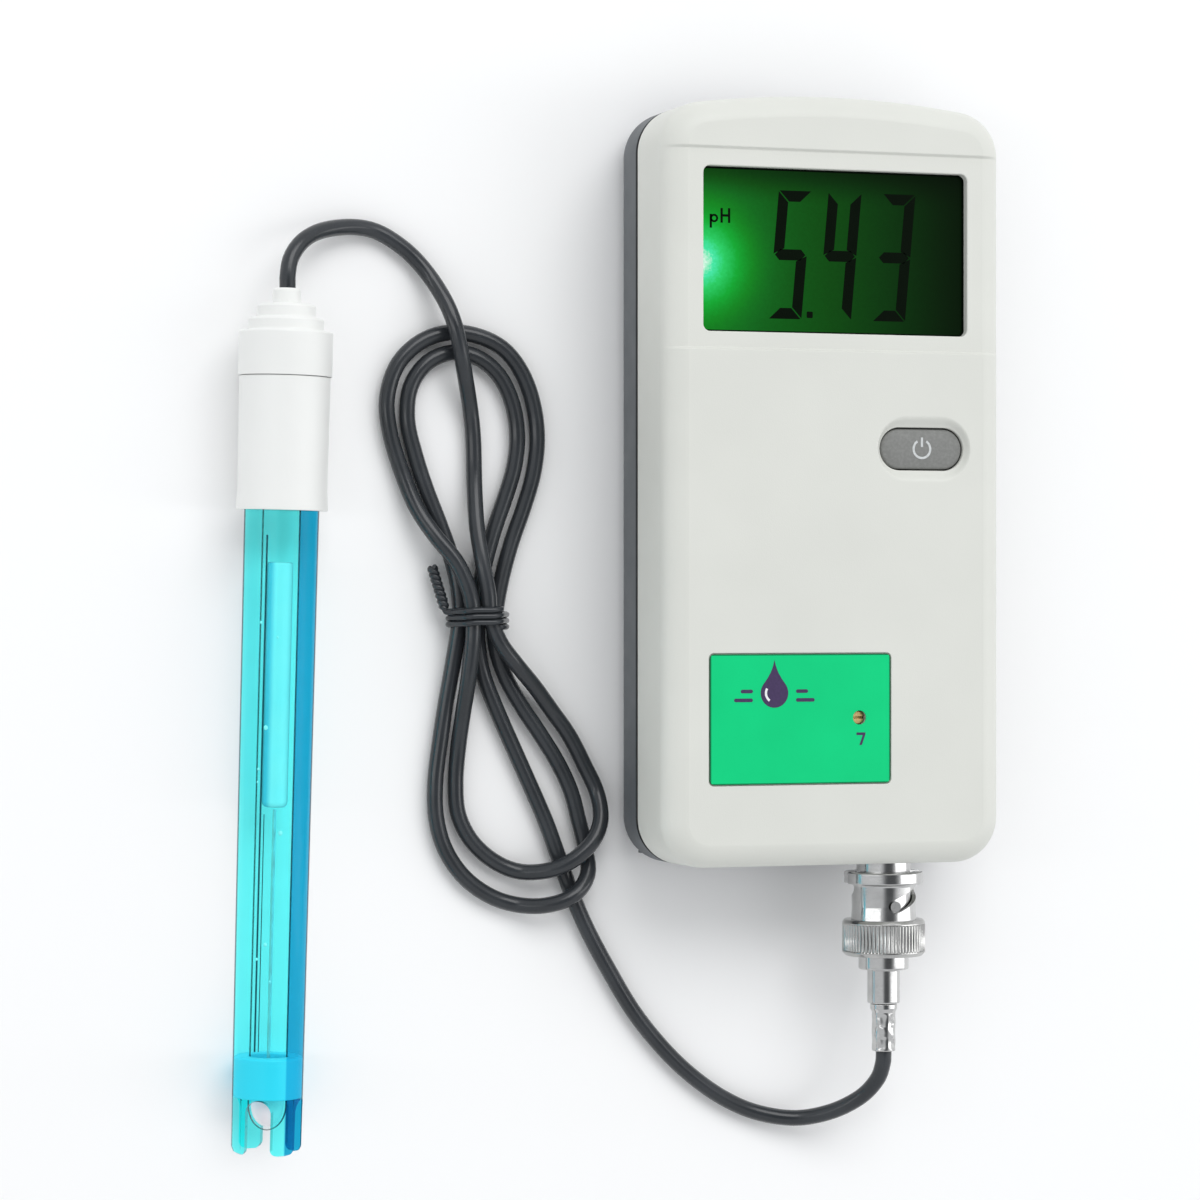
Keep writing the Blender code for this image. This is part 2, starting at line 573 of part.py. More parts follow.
def make_power_button():
    cap = slab("power_button", [pill(BUTTON, BUTTON_SIZE)], (22.6, 26.0), BUTTON_RUBBER,
               round_top=0.5, segments=2)
    flange = slab("button_flange", [pill(BUTTON, (BUTTON_SIZE[0] + 2.6, BUTTON_SIZE[1] + 2.6))],
                  (23.4, 24.5))
    join(cap, flange, cylinder("button_stem", BUTTON, 1.7, (21.2, 23.0), sides=16))
    return cap


def make_trimmer():
    x, y = TRIMMER
    body = box("trimmer_body", (x - 2.4, x + 2.4), (y - 3.4, y + 6.1),
               (BOARD_Z[1] + GAP, 24.6), TRIMMER_BLUE, 0.2)
    cut(body, cylinder("trimmer_room", TRIMMER, 1.4, (21.9, 26.0), sides=16))
    screw = turned("trimmer_screw", bar_profile(1.1, 26.2, 22.2), BRASS, steps=20)
    screw.location = (x * MM, y * MM, 0.0)
    slot = box("trimmer_slot", (x - 2.0, x + 2.0), (y - 0.25, y + 0.25), (25.5, 27.0))
    return cut(screw, slot)


def make_label():
    outline = rounded_rectangle(LABEL, LABEL_SIZE, 0.8)
    label = slab("front_label", [outline], (26.75, 27.05), LABEL_FILM)
    return cut(label, cylinder("label_hole", TRIMMER, 1.2, (26.0, 28.0), sides=16))


def make_battery():
    x0, x1 = BATTERY_X
    middle_z = (BATTERY_Z[0] + BATTERY_Z[1]) / 2.0
    end_y = BATTERY_Y[1]
    box("battery_9v", BATTERY_X, BATTERY_Y, BATTERY_Z, BATTERY_WRAP, 1.0)
    for name, x, r in (("battery_terminal_small", x0 + 7.0, 2.7),
                       ("battery_terminal_large", x1 - 7.0, 3.4)):
        profile = [(0.0, 2.6), (r, 2.6), (r * 0.85, 1.2), (r, GAP), (0.0, GAP)]
        stud = turned(name, profile, NICKEL, steps=16)
        stud.rotation_euler = (math.radians(-90.0), 0.0, 0.0)
        stud.location = (x * MM, end_y * MM, middle_z * MM)
    box("battery_snap", (x0 + 1.2, x1 - 1.2), (end_y + 2.9, end_y + 6.2),
        (middle_z - 5.8, middle_z + 5.8), BLACK_WIRE, 0.5)
    for name, x, mat in (("red_lead", -10.0, RED_WIRE), ("black_lead", -17.0, BLACK_WIRE)):
        route = [(x, end_y + 6.5, 15.4), (x, -3.6, 16.0), (x + 0.4, -1.4, 16.9),
                 (x + 0.8, 1.4, 17.2), (x + 1.0, 4.2, 16.6), (x + 1.0, 5.2, 15.2)]
        tube(name, smooth_path(route, 1.6), 0.55, mat)


# ---------------------------------------------------------------- connector

def on_nut(angle, v, radius):
    """A point round the connector, by its angle from the front, its distance v and its radius."""
    turn = math.radians(angle)
    return Vector((JACK_X + radius * math.sin(turn), CASE_LOW - v,
                   JACK_Z + radius * math.cos(turn)))


def make_jack():
    jack = turned("jack_body", [
        (4.75, 12.3), (4.75, 0.6), (4.75, -2.45), (6.6, -2.45), (6.6, -4.0), (4.4, -4.0),
        (4.4, -11.0), (2.75, -11.0), (2.75, 5.0), (4.1, 5.0), (4.1, 12.3)],
        NICKEL, closed=True, steps=24)
    on_jack_axis(jack)
    for angle in (0, 180):
        join(jack, bar_between(f"stud_{angle}", on_nut(angle, STUD_V, 4.4),
                               on_nut(angle, STUD_V, STUD_TOP_R), STUD_R))
    on_jack_axis(turned("jack_insulator", ring_profile(2.45, 1.3, 10.5, -10.6),
                        WHITE_INSULATOR, closed=True))
    on_jack_axis(turned("jack_contact", [
        (1.1, 10.0), (1.1, -12.4), (0.0, -12.4), (0.0, 4.0), (0.78, 4.0), (0.78, 10.0)],
        BRASS, closed=True, steps=16))
    on_jack_axis(turned("ground_tag", ring_profile(6.4, 4.65, -4.3, -4.9), STEEL, closed=True))
    hexagon = arc(0.0, 0.0, 7.0, 0.0, 300.0, 5)
    bore = arc(0.0, 0.0, 4.65, 0.0, 345.0, 23)
    on_jack_axis(slab("jack_nut", [hexagon, bore], (-7.6, -5.2), NICKEL))
    x, z = JACK_X, JACK_Z
    route = [(x, -53.2, z), (x, -51.6, z + 0.6), (x, -50.4, z + 2.4), (x, -48.6, z + 3.4),
             (x, -46.8, z + 2.9), (x, -46.2, z + 1.9)]
    tube("jack_wire", smooth_path(route, 1.6), 0.5, RED_WIRE)


def make_plug():
    on_jack_axis(turned("plug_body", [
        (2.85, 25.0), (2.85, 19.05), (4.4, 19.05), (4.4, 14.7), (5.4, 14.7), (5.4, 13.9),
        (3.85, 13.9), (3.85, 5.6), (3.2, 5.6), (3.2, 17.8), (1.2, 17.8), (1.2, 25.0)],
        NICKEL, closed=True, steps=24))
    on_jack_axis(turned("plug_insulator", ring_profile(2.9, 0.95, 17.5, 11.0),
                        WHITE_INSULATOR, closed=True, steps=20))
    on_jack_axis(turned("plug_pin", [(0.0, 21.5), (0.7, 21.5), (0.7, 6.6), (0.35, 5.8),
                                     (0.0, 5.6)], BRASS, steps=12))
    on_jack_axis(turned("plug_gasket", ring_profile(4.7, 4.1, 13.6, 12.6), SEAL_RUBBER,
                        closed=True))
    on_jack_axis(turned("spring_washer", ring_profile(5.6, 4.7, 15.5, 15.0), STEEL,
                        closed=True))
    on_jack_axis(turned("crimp_ferrule", [(0.0, 33.4), (1.8, 33.4), (1.8, 27.2), (2.1, 26.6),
                                          (2.1, 25.3), (0.0, 25.3)], NICKEL, steps=20))


def cut_bayonet_slot(nut, start):
    """The slot for one stud: a detent hole, the ramp and the straight way in from the front."""
    last = start + CAM_TURN
    ramp_end = STUD_V - CAM_RISE
    path = []
    for i in range(17):
        share = i / 16.0
        path.append(on_nut(start + share * CAM_TURN, STUD_V - share * CAM_RISE, SLOT_MIDDLE_R))
    guide = tube(f"ramp_guide_{start}", path, SLOT_R, NICKEL)
    guide.data.bevel_resolution = 4
    evaluated = guide.evaluated_get(bpy.context.evaluated_depsgraph_get())
    mesh = bpy.data.meshes.new_from_object(evaluated)
    bpy.data.objects.remove(guide)
    bm = bmesh.new()
    bm.from_mesh(mesh)
    bpy.data.meshes.remove(mesh)
    bmesh.ops.remove_doubles(bm, verts=bm.verts, dist=0.000005)
    bmesh.ops.scale(bm, vec=(1.0 / MM, 1.0 / MM, 1.0 / MM), verts=bm.verts)
    bmesh.ops.recalc_face_normals(bm, faces=bm.faces)
    cut(nut,
        add_mesh(f"ramp_{start}", bm, None),
        bar_between(f"detent_hole_{start}", on_nut(start, STUD_V, 3.0),
                    on_nut(start, STUD_V, 8.0), SLOT_R),
        bar_between(f"ramp_end_{start}", on_nut(last, ramp_end, 4.0),
                    on_nut(last, ramp_end, 6.4), SLOT_R),
        bar_between(f"way_in_{start}", on_nut(last, ramp_end, SLOT_MIDDLE_R),
                    on_nut(last, 0.5, SLOT_MIDDLE_R), SLOT_R))


def make_coupling_nut():
    nut = turned("coupling_nut", [
        (4.75, 16.6), (6.7, 16.6), (7.25, 16.0), (7.25, 10.8), (6.9, 10.3), (5.75, 10.3),
        (5.55, 8.0), (5.75, 4.0), (6.9, 4.0), (6.9, 1.9), (4.98, 1.9), (4.98, 10.3),
        (5.9, 10.6), (5.9, 15.8), (4.75, 15.8)], NICKEL, closed=True, steps=30)
    on_jack_axis(nut)
    for start in (0, 180):
        cut_bayonet_slot(nut, start)
    return nut


# ---------------------------------------------------------------- cable and electrode

def make_cable():
    for name, route in CABLE_ROUTE.items():
        path = smooth_path(route, CABLE_STEP)
        for end, inner in ((0, 1), (-1, -2)):
            away = (path[inner] - path[end]).normalized()
            path[end] = path[end] + away * CABLE_END_GAP
        tube(name, path, CABLE_R, CABLE_PVC)


def bundle_outline(offset):
    """The hull of the bundled strands, grown outward by offset."""
    corners = [BUNDLE[0], BUNDLE[2], BUNDLE[3], BUNDLE[4]]
    points = []
    for before, corner, after in zip(corners[-1:] + corners[:-1], corners,
                                     corners[1:] + corners[:1]):
        start = math.degrees(math.atan2(corner[1] - before[1], corner[0] - before[0])) - 90.0
        end = math.degrees(math.atan2(after[1] - corner[1], after[0] - corner[0])) - 90.0
        if end < start:
            end += 360.0
        points += arc(corner[0], corner[1], offset, start, end, 4)
    return points


def make_tie():
    inner = CABLE_R + TIE_ROOM
    tie = slab("cable_tie", [bundle_outline(inner + TIE_WIRE), bundle_outline(inner)],
               (-TIE_LENGTH / 2.0, TIE_LENGTH / 2.0), BLACK_WIRE)
    tie.rotation_euler = (math.radians(90.0), 0.0, 0.0)
    tie.location = (0.0, TIE_Y * MM, 0.0)
    return tie


def make_electrode():
    on_electrode_axis(turned("cap_top", [
        (0.0, 145.4), (2.0, 145.4), (2.35, 145.0), (2.35, 142.7), (4.6, 142.7), (4.95, 142.3),
        (4.95, 140.4), (6.0, 140.4), (6.35, 140.0), (6.35, 138.2), (7.6, 138.2), (7.9, 137.9),
        (7.9, 130.6), (6.3, 130.6), (6.3, 124.0), (0.0, 124.0)], WHITE_CAP, steps=24))
    on_electrode_axis(turned("cap_sleeve", [
        (7.7, 130.3), (7.55, 108.1), (6.62, 108.1), (6.62, 130.3)], WHITE_CAP, closed=True,
        steps=24))
    body = turned("electrode_tube", [
        (6.3, 122.0), (6.3, 108.0), (5.95, 10.0), (5.9, 1.2), (5.6, 0.4), (4.9, 0.0),
        (4.5, 0.6), (4.5, 9.0), (5.0, 9.4), (5.2, 108.0), (5.2, 122.0)],
        BLUE_CLEAR, closed=True, steps=28)
    on_electrode_axis(body)
    for number, size in enumerate(((20.0, PRONG_GAP), (PRONG_GAP, 20.0))):
        notch = box(f"prong_notch_{number}", (-size[0] / 2.0, size[0] / 2.0),
                    (-size[1] / 2.0, size[1] / 2.0), (-2.0, 9.4))
        notch.data.transform(Matrix.Rotation(math.radians(PRONG_TURN), 4, "Z"))
        cut(body, on_electrode_axis(notch))
    on_electrode_axis(turned("tip_plug", ring_profile(4.65, 3.55, 15.8, 9.7), WHITE_CAP,
                             closed=True))
    on_electrode_axis(turned("glass_stem", [
        (3.25, 118.0), (3.25, 9.6), (2.9, 8.4), (2.95, 6.6), (2.4, 4.8), (1.3, 4.0), (0.0, 3.8),
        (0.0, 4.4), (1.1, 4.6), (2.0, 5.2), (2.45, 6.6), (2.4, 8.4), (2.7, 9.8),
        (2.7, 118.0)], CLEAR_GLASS, closed=True))
    on_electrode_axis(turned("reference_element", [
        (0.0, 99.4), (2.15, 99.4), (2.15, 60.0), (1.9, 58.9), (1.1, 58.3), (0.0, 58.2)],
        BLUE_CLEAR, steps=20))
    on_electrode_axis(turned("silver_wire", bar_profile(0.3, 57.8, 8.0), SILVER, steps=8))
    on_electrode_axis(turned("cap_seal", ring_profile(4.9, 3.6, 121.0, 119.0), SEAL_RUBBER,
                             closed=True))


make_front_shell()
make_back_shell()
make_battery_door()
make_case_screws()
make_display()
make_board()
make_power_button()
make_trimmer()
make_label()
make_battery()
make_jack()
make_plug()
make_coupling_nut()
make_cable()
make_tie()
make_electrode()
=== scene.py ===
"""Looks of a hand-held pH meter with its electrode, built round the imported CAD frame.

Lengths are millimetres in the row frame, and MM turns them into metres when a mesh is made. Only
the camera, the lights and the cord's exit and length are given in metres.
"""
import math
import random

import bmesh
import bpy
from mathutils import Matrix, Vector
from mathutils.geometry import delaunay_2d_cdt


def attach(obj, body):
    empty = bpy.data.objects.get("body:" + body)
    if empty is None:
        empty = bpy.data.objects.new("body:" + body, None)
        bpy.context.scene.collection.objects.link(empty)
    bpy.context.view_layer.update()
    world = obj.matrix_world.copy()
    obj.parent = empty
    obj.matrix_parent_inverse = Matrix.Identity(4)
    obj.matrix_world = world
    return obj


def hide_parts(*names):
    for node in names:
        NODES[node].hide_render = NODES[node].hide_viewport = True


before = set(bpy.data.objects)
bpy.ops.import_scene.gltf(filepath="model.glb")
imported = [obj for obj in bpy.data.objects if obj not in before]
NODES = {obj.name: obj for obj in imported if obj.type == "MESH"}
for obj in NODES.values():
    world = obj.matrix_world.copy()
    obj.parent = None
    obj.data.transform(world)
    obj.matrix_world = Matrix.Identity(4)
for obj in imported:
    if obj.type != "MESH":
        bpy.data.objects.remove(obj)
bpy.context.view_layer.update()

MM = 0.001
METER = "meter"
PROBE = "probe"

# ---- driving dimensions
CASE_W = 62.0
CASE_TOP = 66.0
CASE_LOW = -66.0
CASE_H = 27.0
SEAM_Z = 11.6
SEAM_HALF = 0.15          # half the gap between the two shells
CORNER_R = 8.0
CROWN_K = 0.0029          # the top end falls by this times the square of x
CROWN_TILT = 8.0          # degrees by which the top corners end short of a quarter turn
FRONT_R = 4.0
BACK_R = 5.0
WALL = 2.0
BAND_Y = (22.2, 56.2)     # the sunken band round the display
BAND_DEPTH = 0.5
CREASE_TURN = 76.0        # the front's rounding ends this far round, which leaves a soft crease
STEP_SPREAD = 0.25        # half the width over which the band's edge falls
BAND_ROWS = (-0.8, -0.36, -0.29, -0.25, -0.17, -0.08, 0.0, 0.08, 0.17, 0.25, 0.29, 0.36, 0.8)
DISPLAY = (0.0, 39.1)
DISPLAY_SIZE = (48.3, 28.0)
LAMP = (-24.3, 36.9)
BUTTON = (15.9, 5.6)
BUTTON_SIZE = (15.1, 6.9)
DISH_SIZE = (17.5, 11.4)
DISH_DEPTH = 1.1
LABEL = (-6.8, -40.65)
LABEL_SIZE = (32.8, 22.1)
TRIMMER = (3.95, -40.5)
DOOR_X = (-28.2, 2.5)
DOOR_TOP_Y = -8.0
DOOR_Z = 2.3
ROOM_X = (-27.15, -0.05)
ROOM_Y = (-58.0, -8.3)
CASE_SCREWS = [(-24.6, 59.6), (24.6, 59.6), (25.0, -59.0)]
JACK_X = 14.0
JACK_Z = 13.3
STUD_V = 7.8
CAM_RISE = 3.2
CAM_TURN = 80.0
TIP = Vector((-95.0, -113.4, 6.05))
NECK = Vector((-91.8, 32.0, 8.05))
CABLE_R = 1.4
PRONG_TURN = -29.0
PRONG_GAP = 4.4
SLANT = 0.236             # X per Z of the direction from which the photo looks at the tube
REST_Z = 1.5              # height of a strand that lies on the floor
TIE_Y = -23.4
BUNDLE = [(-60.2, 2.8), (-53.9, 2.8), (-55.5, 5.6), (-58.6, 5.6)]   # the tie's outer strands

# ---- camera
camera_data = bpy.data.cameras.new("camera")
camera_data.sensor_width = 36.0
camera_data.lens = 112.8
camera_data.clip_start = 0.01
camera_data.clip_end = 20.0
camera = bpy.data.objects.new("camera", camera_data)
camera.location = (-0.2370, -0.0204, 0.6249)
camera.rotation_euler = (0.0, math.radians(-18.0), 0.0)
bpy.context.scene.collection.objects.link(camera)
bpy.context.scene.camera = camera

# ---- cable route
# The route of the whole cable from inside the electrode's gland to inside the plug's ferrule. It
# runs through the tie five times: down, then round two lower and two upper loops, then down to the
# plug. A point without a height lies on the floor.
CABLE_ROUTE = [
    (-91.77, 31.4, 8.04), (-91.75, 32.3, 8.05), (-91.7, 34.4, 8.0), (-91.0, 37.2, 7.5),
    (-89.0, 39.9, 6.4), (-86.0, 41.8, 4.8), (-82.0, 42.9, 3.1), (-78.0, 43.2, 2.0), (-74.6, 42.6),
    (-71.2, 40.8), (-68.0, 38.3), (-65.2, 34.8, 2.3), (-63.2, 30.9, 4.0), (-61.9, 27.2, 5.1),
    (-60.8, 22.8, 5.2), (-59.6, 18.0, 4.0), (-58.2, 13.0, 2.1), (-57.5, 8.5), (-57.3, 3.0),
    (-57.4, -2.5, 2.4), (-57.5, -8.0, 4.1), (-56.9, -14.0, 5.5), (-56.0, -19.0, 5.8),
    (-55.5, -23.4, 5.6), (-53.8, -27.7, 5.7), (-50.6, -31.6, 5.0), (-46.9, -35.4, 3.3),
    (-43.4, -39.5, 1.7), (-40.2, -43.8), (-37.4, -49.0), (-35.2, -54.0, 2.1), (-35.2, -58.6, 4.2),
    (-37.2, -62.4, 5.3), (-41.0, -65.6, 5.3), (-45.0, -67.2, 4.1), (-49.6, -67.3, 1.9),
    (-54.2, -65.2), (-58.0, -61.6), (-60.2, -57.0), (-60.6, -51.5), (-60.2, -45.5, 1.9),
    (-59.7, -39.5, 3.2), (-59.2, -34.0, 4.6), (-58.7, -28.5, 5.4), (-58.6, -23.4, 5.6),
    (-59.3, -19.0, 5.7), (-61.4, -14.0, 5.2), (-64.9, -9.5, 4.2), (-67.9, -4.5, 2.6),
    (-70.2, 1.5, 1.6), (-72.2, 8.0), (-72.8, 14.0), (-71.0, 19.8), (-67.0, 23.8), (-62.0, 25.6),
    (-56.8, 25.2), (-52.0, 23.0), (-48.6, 18.8), (-46.6, 13.4), (-45.9, 7.5), (-46.6, 1.5),
    (-48.4, -4.5), (-50.6, -10.5, 1.6), (-52.6, -17.0, 2.2), (-53.9, -23.4, 2.8),
    (-53.6, -28.5, 2.3), (-51.7, -33.6, 1.6), (-48.7, -38.8), (-45.4, -43.6), (-42.2, -48.6),
    (-39.8, -53.6), (-38.4, -58.6), (-37.2, -63.6), (-37.4, -68.0, 3.7), (-40.6, -71.6, 5.2),
    (-45.4, -73.2, 4.1), (-50.2, -73.0, 1.8), (-55.0, -71.2), (-59.4, -67.8), (-62.6, -63.0),
    (-64.1, -57.5), (-64.2, -51.5), (-63.4, -45.0), (-62.4, -38.5, 1.6), (-61.2, -31.0, 2.2),
    (-60.2, -23.4, 2.8), (-60.4, -18.0, 2.3), (-61.6, -12.5, 1.6), (-63.6, -7.0), (-65.8, -1.5),
    (-67.8, 4.5), (-69.2, 10.5), (-68.6, 16.2), (-65.6, 20.4), (-61.2, 22.2), (-56.6, 21.4),
    (-52.8, 18.4), (-50.4, 13.6), (-49.5, 8.0), (-50.1, 2.5), (-51.8, -3.0), (-54.0, -9.0, 1.7),
    (-56.0, -16.0, 2.2), (-57.05, -23.4, 2.8), (-56.9, -28.0, 2.4), (-55.8, -33.0, 1.7),
    (-53.4, -39.0), (-50.4, -45.6), (-47.2, -52.5), (-44.3, -59.0), (-41.9, -65.4), (-39.6, -71.5),
    (-36.9, -77.6), (-33.3, -84.2), (-28.4, -92.2), (-23.2, -98.6), (-18.0, -103.6),
    (-12.0, -107.9), (-5.7, -110.8, 1.7), (1.2, -112.0, 3.0), (7.0, -110.8, 5.7),
    (11.3, -108.0, 9.0), (13.4, -104.6, 11.8), (14.0, -101.6, 13.0), (14.0, -99.7, 13.3),
    (14.0, -98.9, 13.3),
]


# ---- materials
class Nodes:
    """Short names for adding nodes to the tree of a material or world."""

    def __init__(self, owner):
        owner.use_nodes = True
        self.tree = owner.node_tree

    def add(self, kind, **settings):
        node = self.tree.nodes.new(kind)
        for key, value in settings.items():
            setattr(node, key, value)
        return node

    def put(self, socket, value):
        """Link an output to a socket, or set the socket to a plain value."""
        if isinstance(value, bpy.types.NodeSocket):
            self.tree.links.new(value, socket)
        else:
            socket.default_value = value

    def math(self, operation, a, b=0.0):
        node = self.add("ShaderNodeMath", operation=operation)
        self.put(node.inputs[0], a)
        self.put(node.inputs[1], b)
        return node.outputs[0]

    def plus(self, a, b):
        return self.math("ADD", a, b)

    def minus(self, a, b):
        return self.math("SUBTRACT", a, b)

    def times(self, a, b):
        return self.math("MULTIPLY", a, b)

    def over(self, a, b):
        return self.math("GREATER_THAN", a, b)

    def under(self, a, b):
        return self.math("LESS_THAN", a, b)

    def apart(self, a, b):
        return self.math("ABSOLUTE", self.minus(a, b))

    def span(self, value, low, high, to_low=0.0, to_high=1.0, smooth=False):
        node = self.add("ShaderNodeMapRange")
        if smooth:
            node.interpolation_type = "SMOOTHSTEP"
        for socket, number in zip(node.inputs, (value, low, high, to_low, to_high)):
            self.put(socket, number)
        return node.outputs["Result"]

    def blend(self, share, a, b):
        node = self.add("ShaderNodeMix", data_type="RGBA")
        self.put(node.inputs["Factor"], share)
        for socket, colour in ((node.inputs[6], a), (node.inputs[7], b)):
            self.put(socket, colour if isinstance(colour, bpy.types.NodeSocket) else (*colour, 1.0))
        return node.outputs[2]


class Finish(Nodes):
    """A procedural material, whose patterns are read from Object coordinates, which are the row
    frame in metres."""

    def __init__(self, name, roughness=0.5, metallic=0.0, specular=0.5):
        self.material = bpy.data.materials.new(name)
        super().__init__(self.material)
        self.shader = self.tree.nodes["Principled BSDF"]
        self.set("Roughness", roughness)
        self.set("Metallic", metallic)
        self.set("Specular IOR Level", specular)
        self.place = self.add("ShaderNodeTexCoord").outputs["Object"]

    def set(self, socket, value):
        self.put(self.shader.inputs[socket], value)

    def axis(self, name):
        """One coordinate, in millimetres."""
        node = self.add("ShaderNodeSeparateXYZ")
        self.put(node.inputs[0], self.place)
        return self.times(node.outputs[name], 1.0 / MM)

    def noise(self, size, detail=2.0, stretch=(1.0, 1.0, 1.0)):
        """Noise whose features are about size millimetres across; stretch makes them longer."""
        mapping = self.add("ShaderNodeMapping")
        self.put(mapping.inputs["Vector"], self.place)
        mapping.inputs["Scale"].default_value = [1.0 / (MM * size * s) for s in stretch]
        node = self.add("ShaderNodeTexNoise")
        self.put(node.inputs["Vector"], mapping.outputs["Vector"])
        node.inputs["Scale"].default_value = 1.0
        node.inputs["Detail"].default_value = detail
        return node.outputs["Fac"]

    def vary(self, noise, low, high, top=0.7, base=0.3):
        """Roughness that follows the noise from low to high."""
        self.set("Roughness", self.span(noise, base, top, low, high))

    def facing(self):
        return self.add("ShaderNodeLayerWeight").outputs["Facing"]

    def ramp(self, value, stops):
        node = self.add("ShaderNodeValToRGB")
        elements = node.color_ramp.elements
        while len(elements) < len(stops):
            elements.new(0.5)
        for element, (position, colour) in zip(elements, stops):
            element.position = position
            element.color = (*colour, 1.0)
        self.put(node.inputs[0], value)
        return node.outputs["Color"]

    def bump(self, height, depth, strength=1.0):
        """Relief from height, depth millimetres deep."""
        node = self.add("ShaderNodeBump")
        node.inputs["Strength"].default_value = strength
        node.inputs["Distance"].default_value = depth * MM
        self.put(node.inputs["Height"], height)
        self.set("Normal", node.outputs["Normal"])

    def colour(self, value):
        self.set("Base Color", value)


def shade(colour, factor):
    return tuple(min(1.0, c * factor) for c in colour)


def moulded(name, colour, roughness=0.42, grain=0.22, depth=0.012, specular=0.4, seam=None):
    """Injection moulded plastic: a spark-eroded grain and faint flow marks.

    Above the height seam, the colour is painted far darker: a painted shadow line along the parting
    line."""
    m = Finish(name, roughness, specular=specular)
    flow = m.noise(26.0, 3.0)
    speck = m.noise(0.5, 2.0)
    body = m.blend(m.span(flow, 0.35, 0.65), shade(colour, 0.98), shade(colour, 1.015))
    body = m.blend(m.span(speck, 0.62, 0.78, 0.0, 0.06), body, shade(colour, 0.85))
    # painted shade: above the height seam the colour falls to 0.12 of itself, a painted shadow line
    if seam is not None:
        body = m.blend(m.over(m.axis("Z"), seam), body, shade(colour, 0.12))
    m.colour(body)
    m.vary(m.noise(5.0), roughness - 0.05, roughness + 0.07)
    m.bump(m.noise(grain, 1.0), depth)
    return m.material


def plated(name, colour, roughness, along="Y"):
    """Plated metal turned about the axis along: fine rings from the lathe, and dulled patches."""
    m = Finish(name, roughness, metallic=1.0)
    rings = m.noise(0.05, 1.0, (60.0, 1.0, 60.0) if along == "Y" else (60.0, 60.0, 1.0))
    dull = m.noise(3.5, 3.0)
    body = m.blend(m.span(dull, 0.4, 0.7), shade(colour, 1.04), shade(colour, 0.86))
    m.colour(m.blend(m.span(rings, 0.35, 0.65, 0.0, 0.35), body, shade(colour, 0.8)))
    m.vary(dull, roughness * 0.75, roughness * 1.5, base=0.35)
    m.bump(rings, 0.006, 0.5)
    return m.material


def rubbery(name, colour, roughness=0.5):
    """Soft rubber or silicone: matt, with dust in fine pores."""
    m = Finish(name, roughness, specular=0.3)
    pores = m.noise(0.5, 3.0)
    m.colour(m.blend(m.span(pores, 0.4, 0.75, 0.0, 0.6), colour, shade(colour, 1.35)))
    m.vary(m.noise(4.0), roughness - 0.08, roughness + 0.1)
    m.bump(pores, 0.015)
    return m.material


def jacket(name, colour, roughness=0.33):
    """Extruded wire jacket: even, satin, with faint dusty patches and die lines."""
    m = Finish(name, roughness, specular=0.45)
    patches = m.noise(9.0, 4.0)
    fine = m.noise(0.35, 2.0)
    body = m.blend(m.span(patches, 0.35, 0.7), shade(colour, 0.85), shade(colour, 1.18))
    m.colour(m.blend(m.span(fine, 0.55, 0.75, 0.0, 0.25), body, shade(colour, 1.5)))
    m.vary(patches, roughness - 0.04, roughness + 0.07)
    m.bump(fine, 0.008)
    return m.material


def circuit_board():
    """Green solder mask over copper traces and tinned pads, which lie on lanes 2.56 mm apart."""
    m = Finish("circuit_board", 0.35)
    lane_x, lane_y = (m.apart(m.math("FRACT", m.times(m.axis(name), 0.39)), 0.5) for name in "XY")
    zones = m.noise(11.0, 1.0)
    copper = m.math("MAXIMUM", m.times(m.under(lane_x, 0.12), m.over(zones, 0.5)),
                    m.times(m.under(lane_y, 0.12), m.under(zones, 0.47)))
    pads = m.times(m.times(m.under(lane_x, 0.2), m.under(lane_y, 0.2)),
                   m.over(m.noise(4.0, 0.0), 0.56))
    mask = m.blend(copper, (0.012, 0.12, 0.04), (0.03, 0.24, 0.08))
    m.colour(m.blend(pads, mask, (0.62, 0.61, 0.58)))
    m.set("Metallic", m.times(pads, 0.9))
    m.bump(m.plus(copper, pads), 0.03)
    return m.material


def battery_wrap():
    """The printed steel jacket of a block battery: a dark body, a warm band and a fine line."""
    m = Finish("battery_wrap", 0.3, specular=0.5)
    y = m.axis("Y")
    band = m.over(y, -24.0)
    line = m.under(m.math("ABSOLUTE", m.plus(y, 24.6)), 0.25)
    scuff = m.span(m.noise(2.2, 5.0), 0.6, 0.75, 0.0, 0.5)
    body = m.blend(band, (0.02, 0.022, 0.026), (0.42, 0.2, 0.05))
    body = m.blend(line, body, (0.6, 0.6, 0.58))
    m.colour(m.blend(scuff, body, (0.25, 0.25, 0.25)))
    m.vary(m.noise(6.0), 0.29, 0.45)
    return m.material


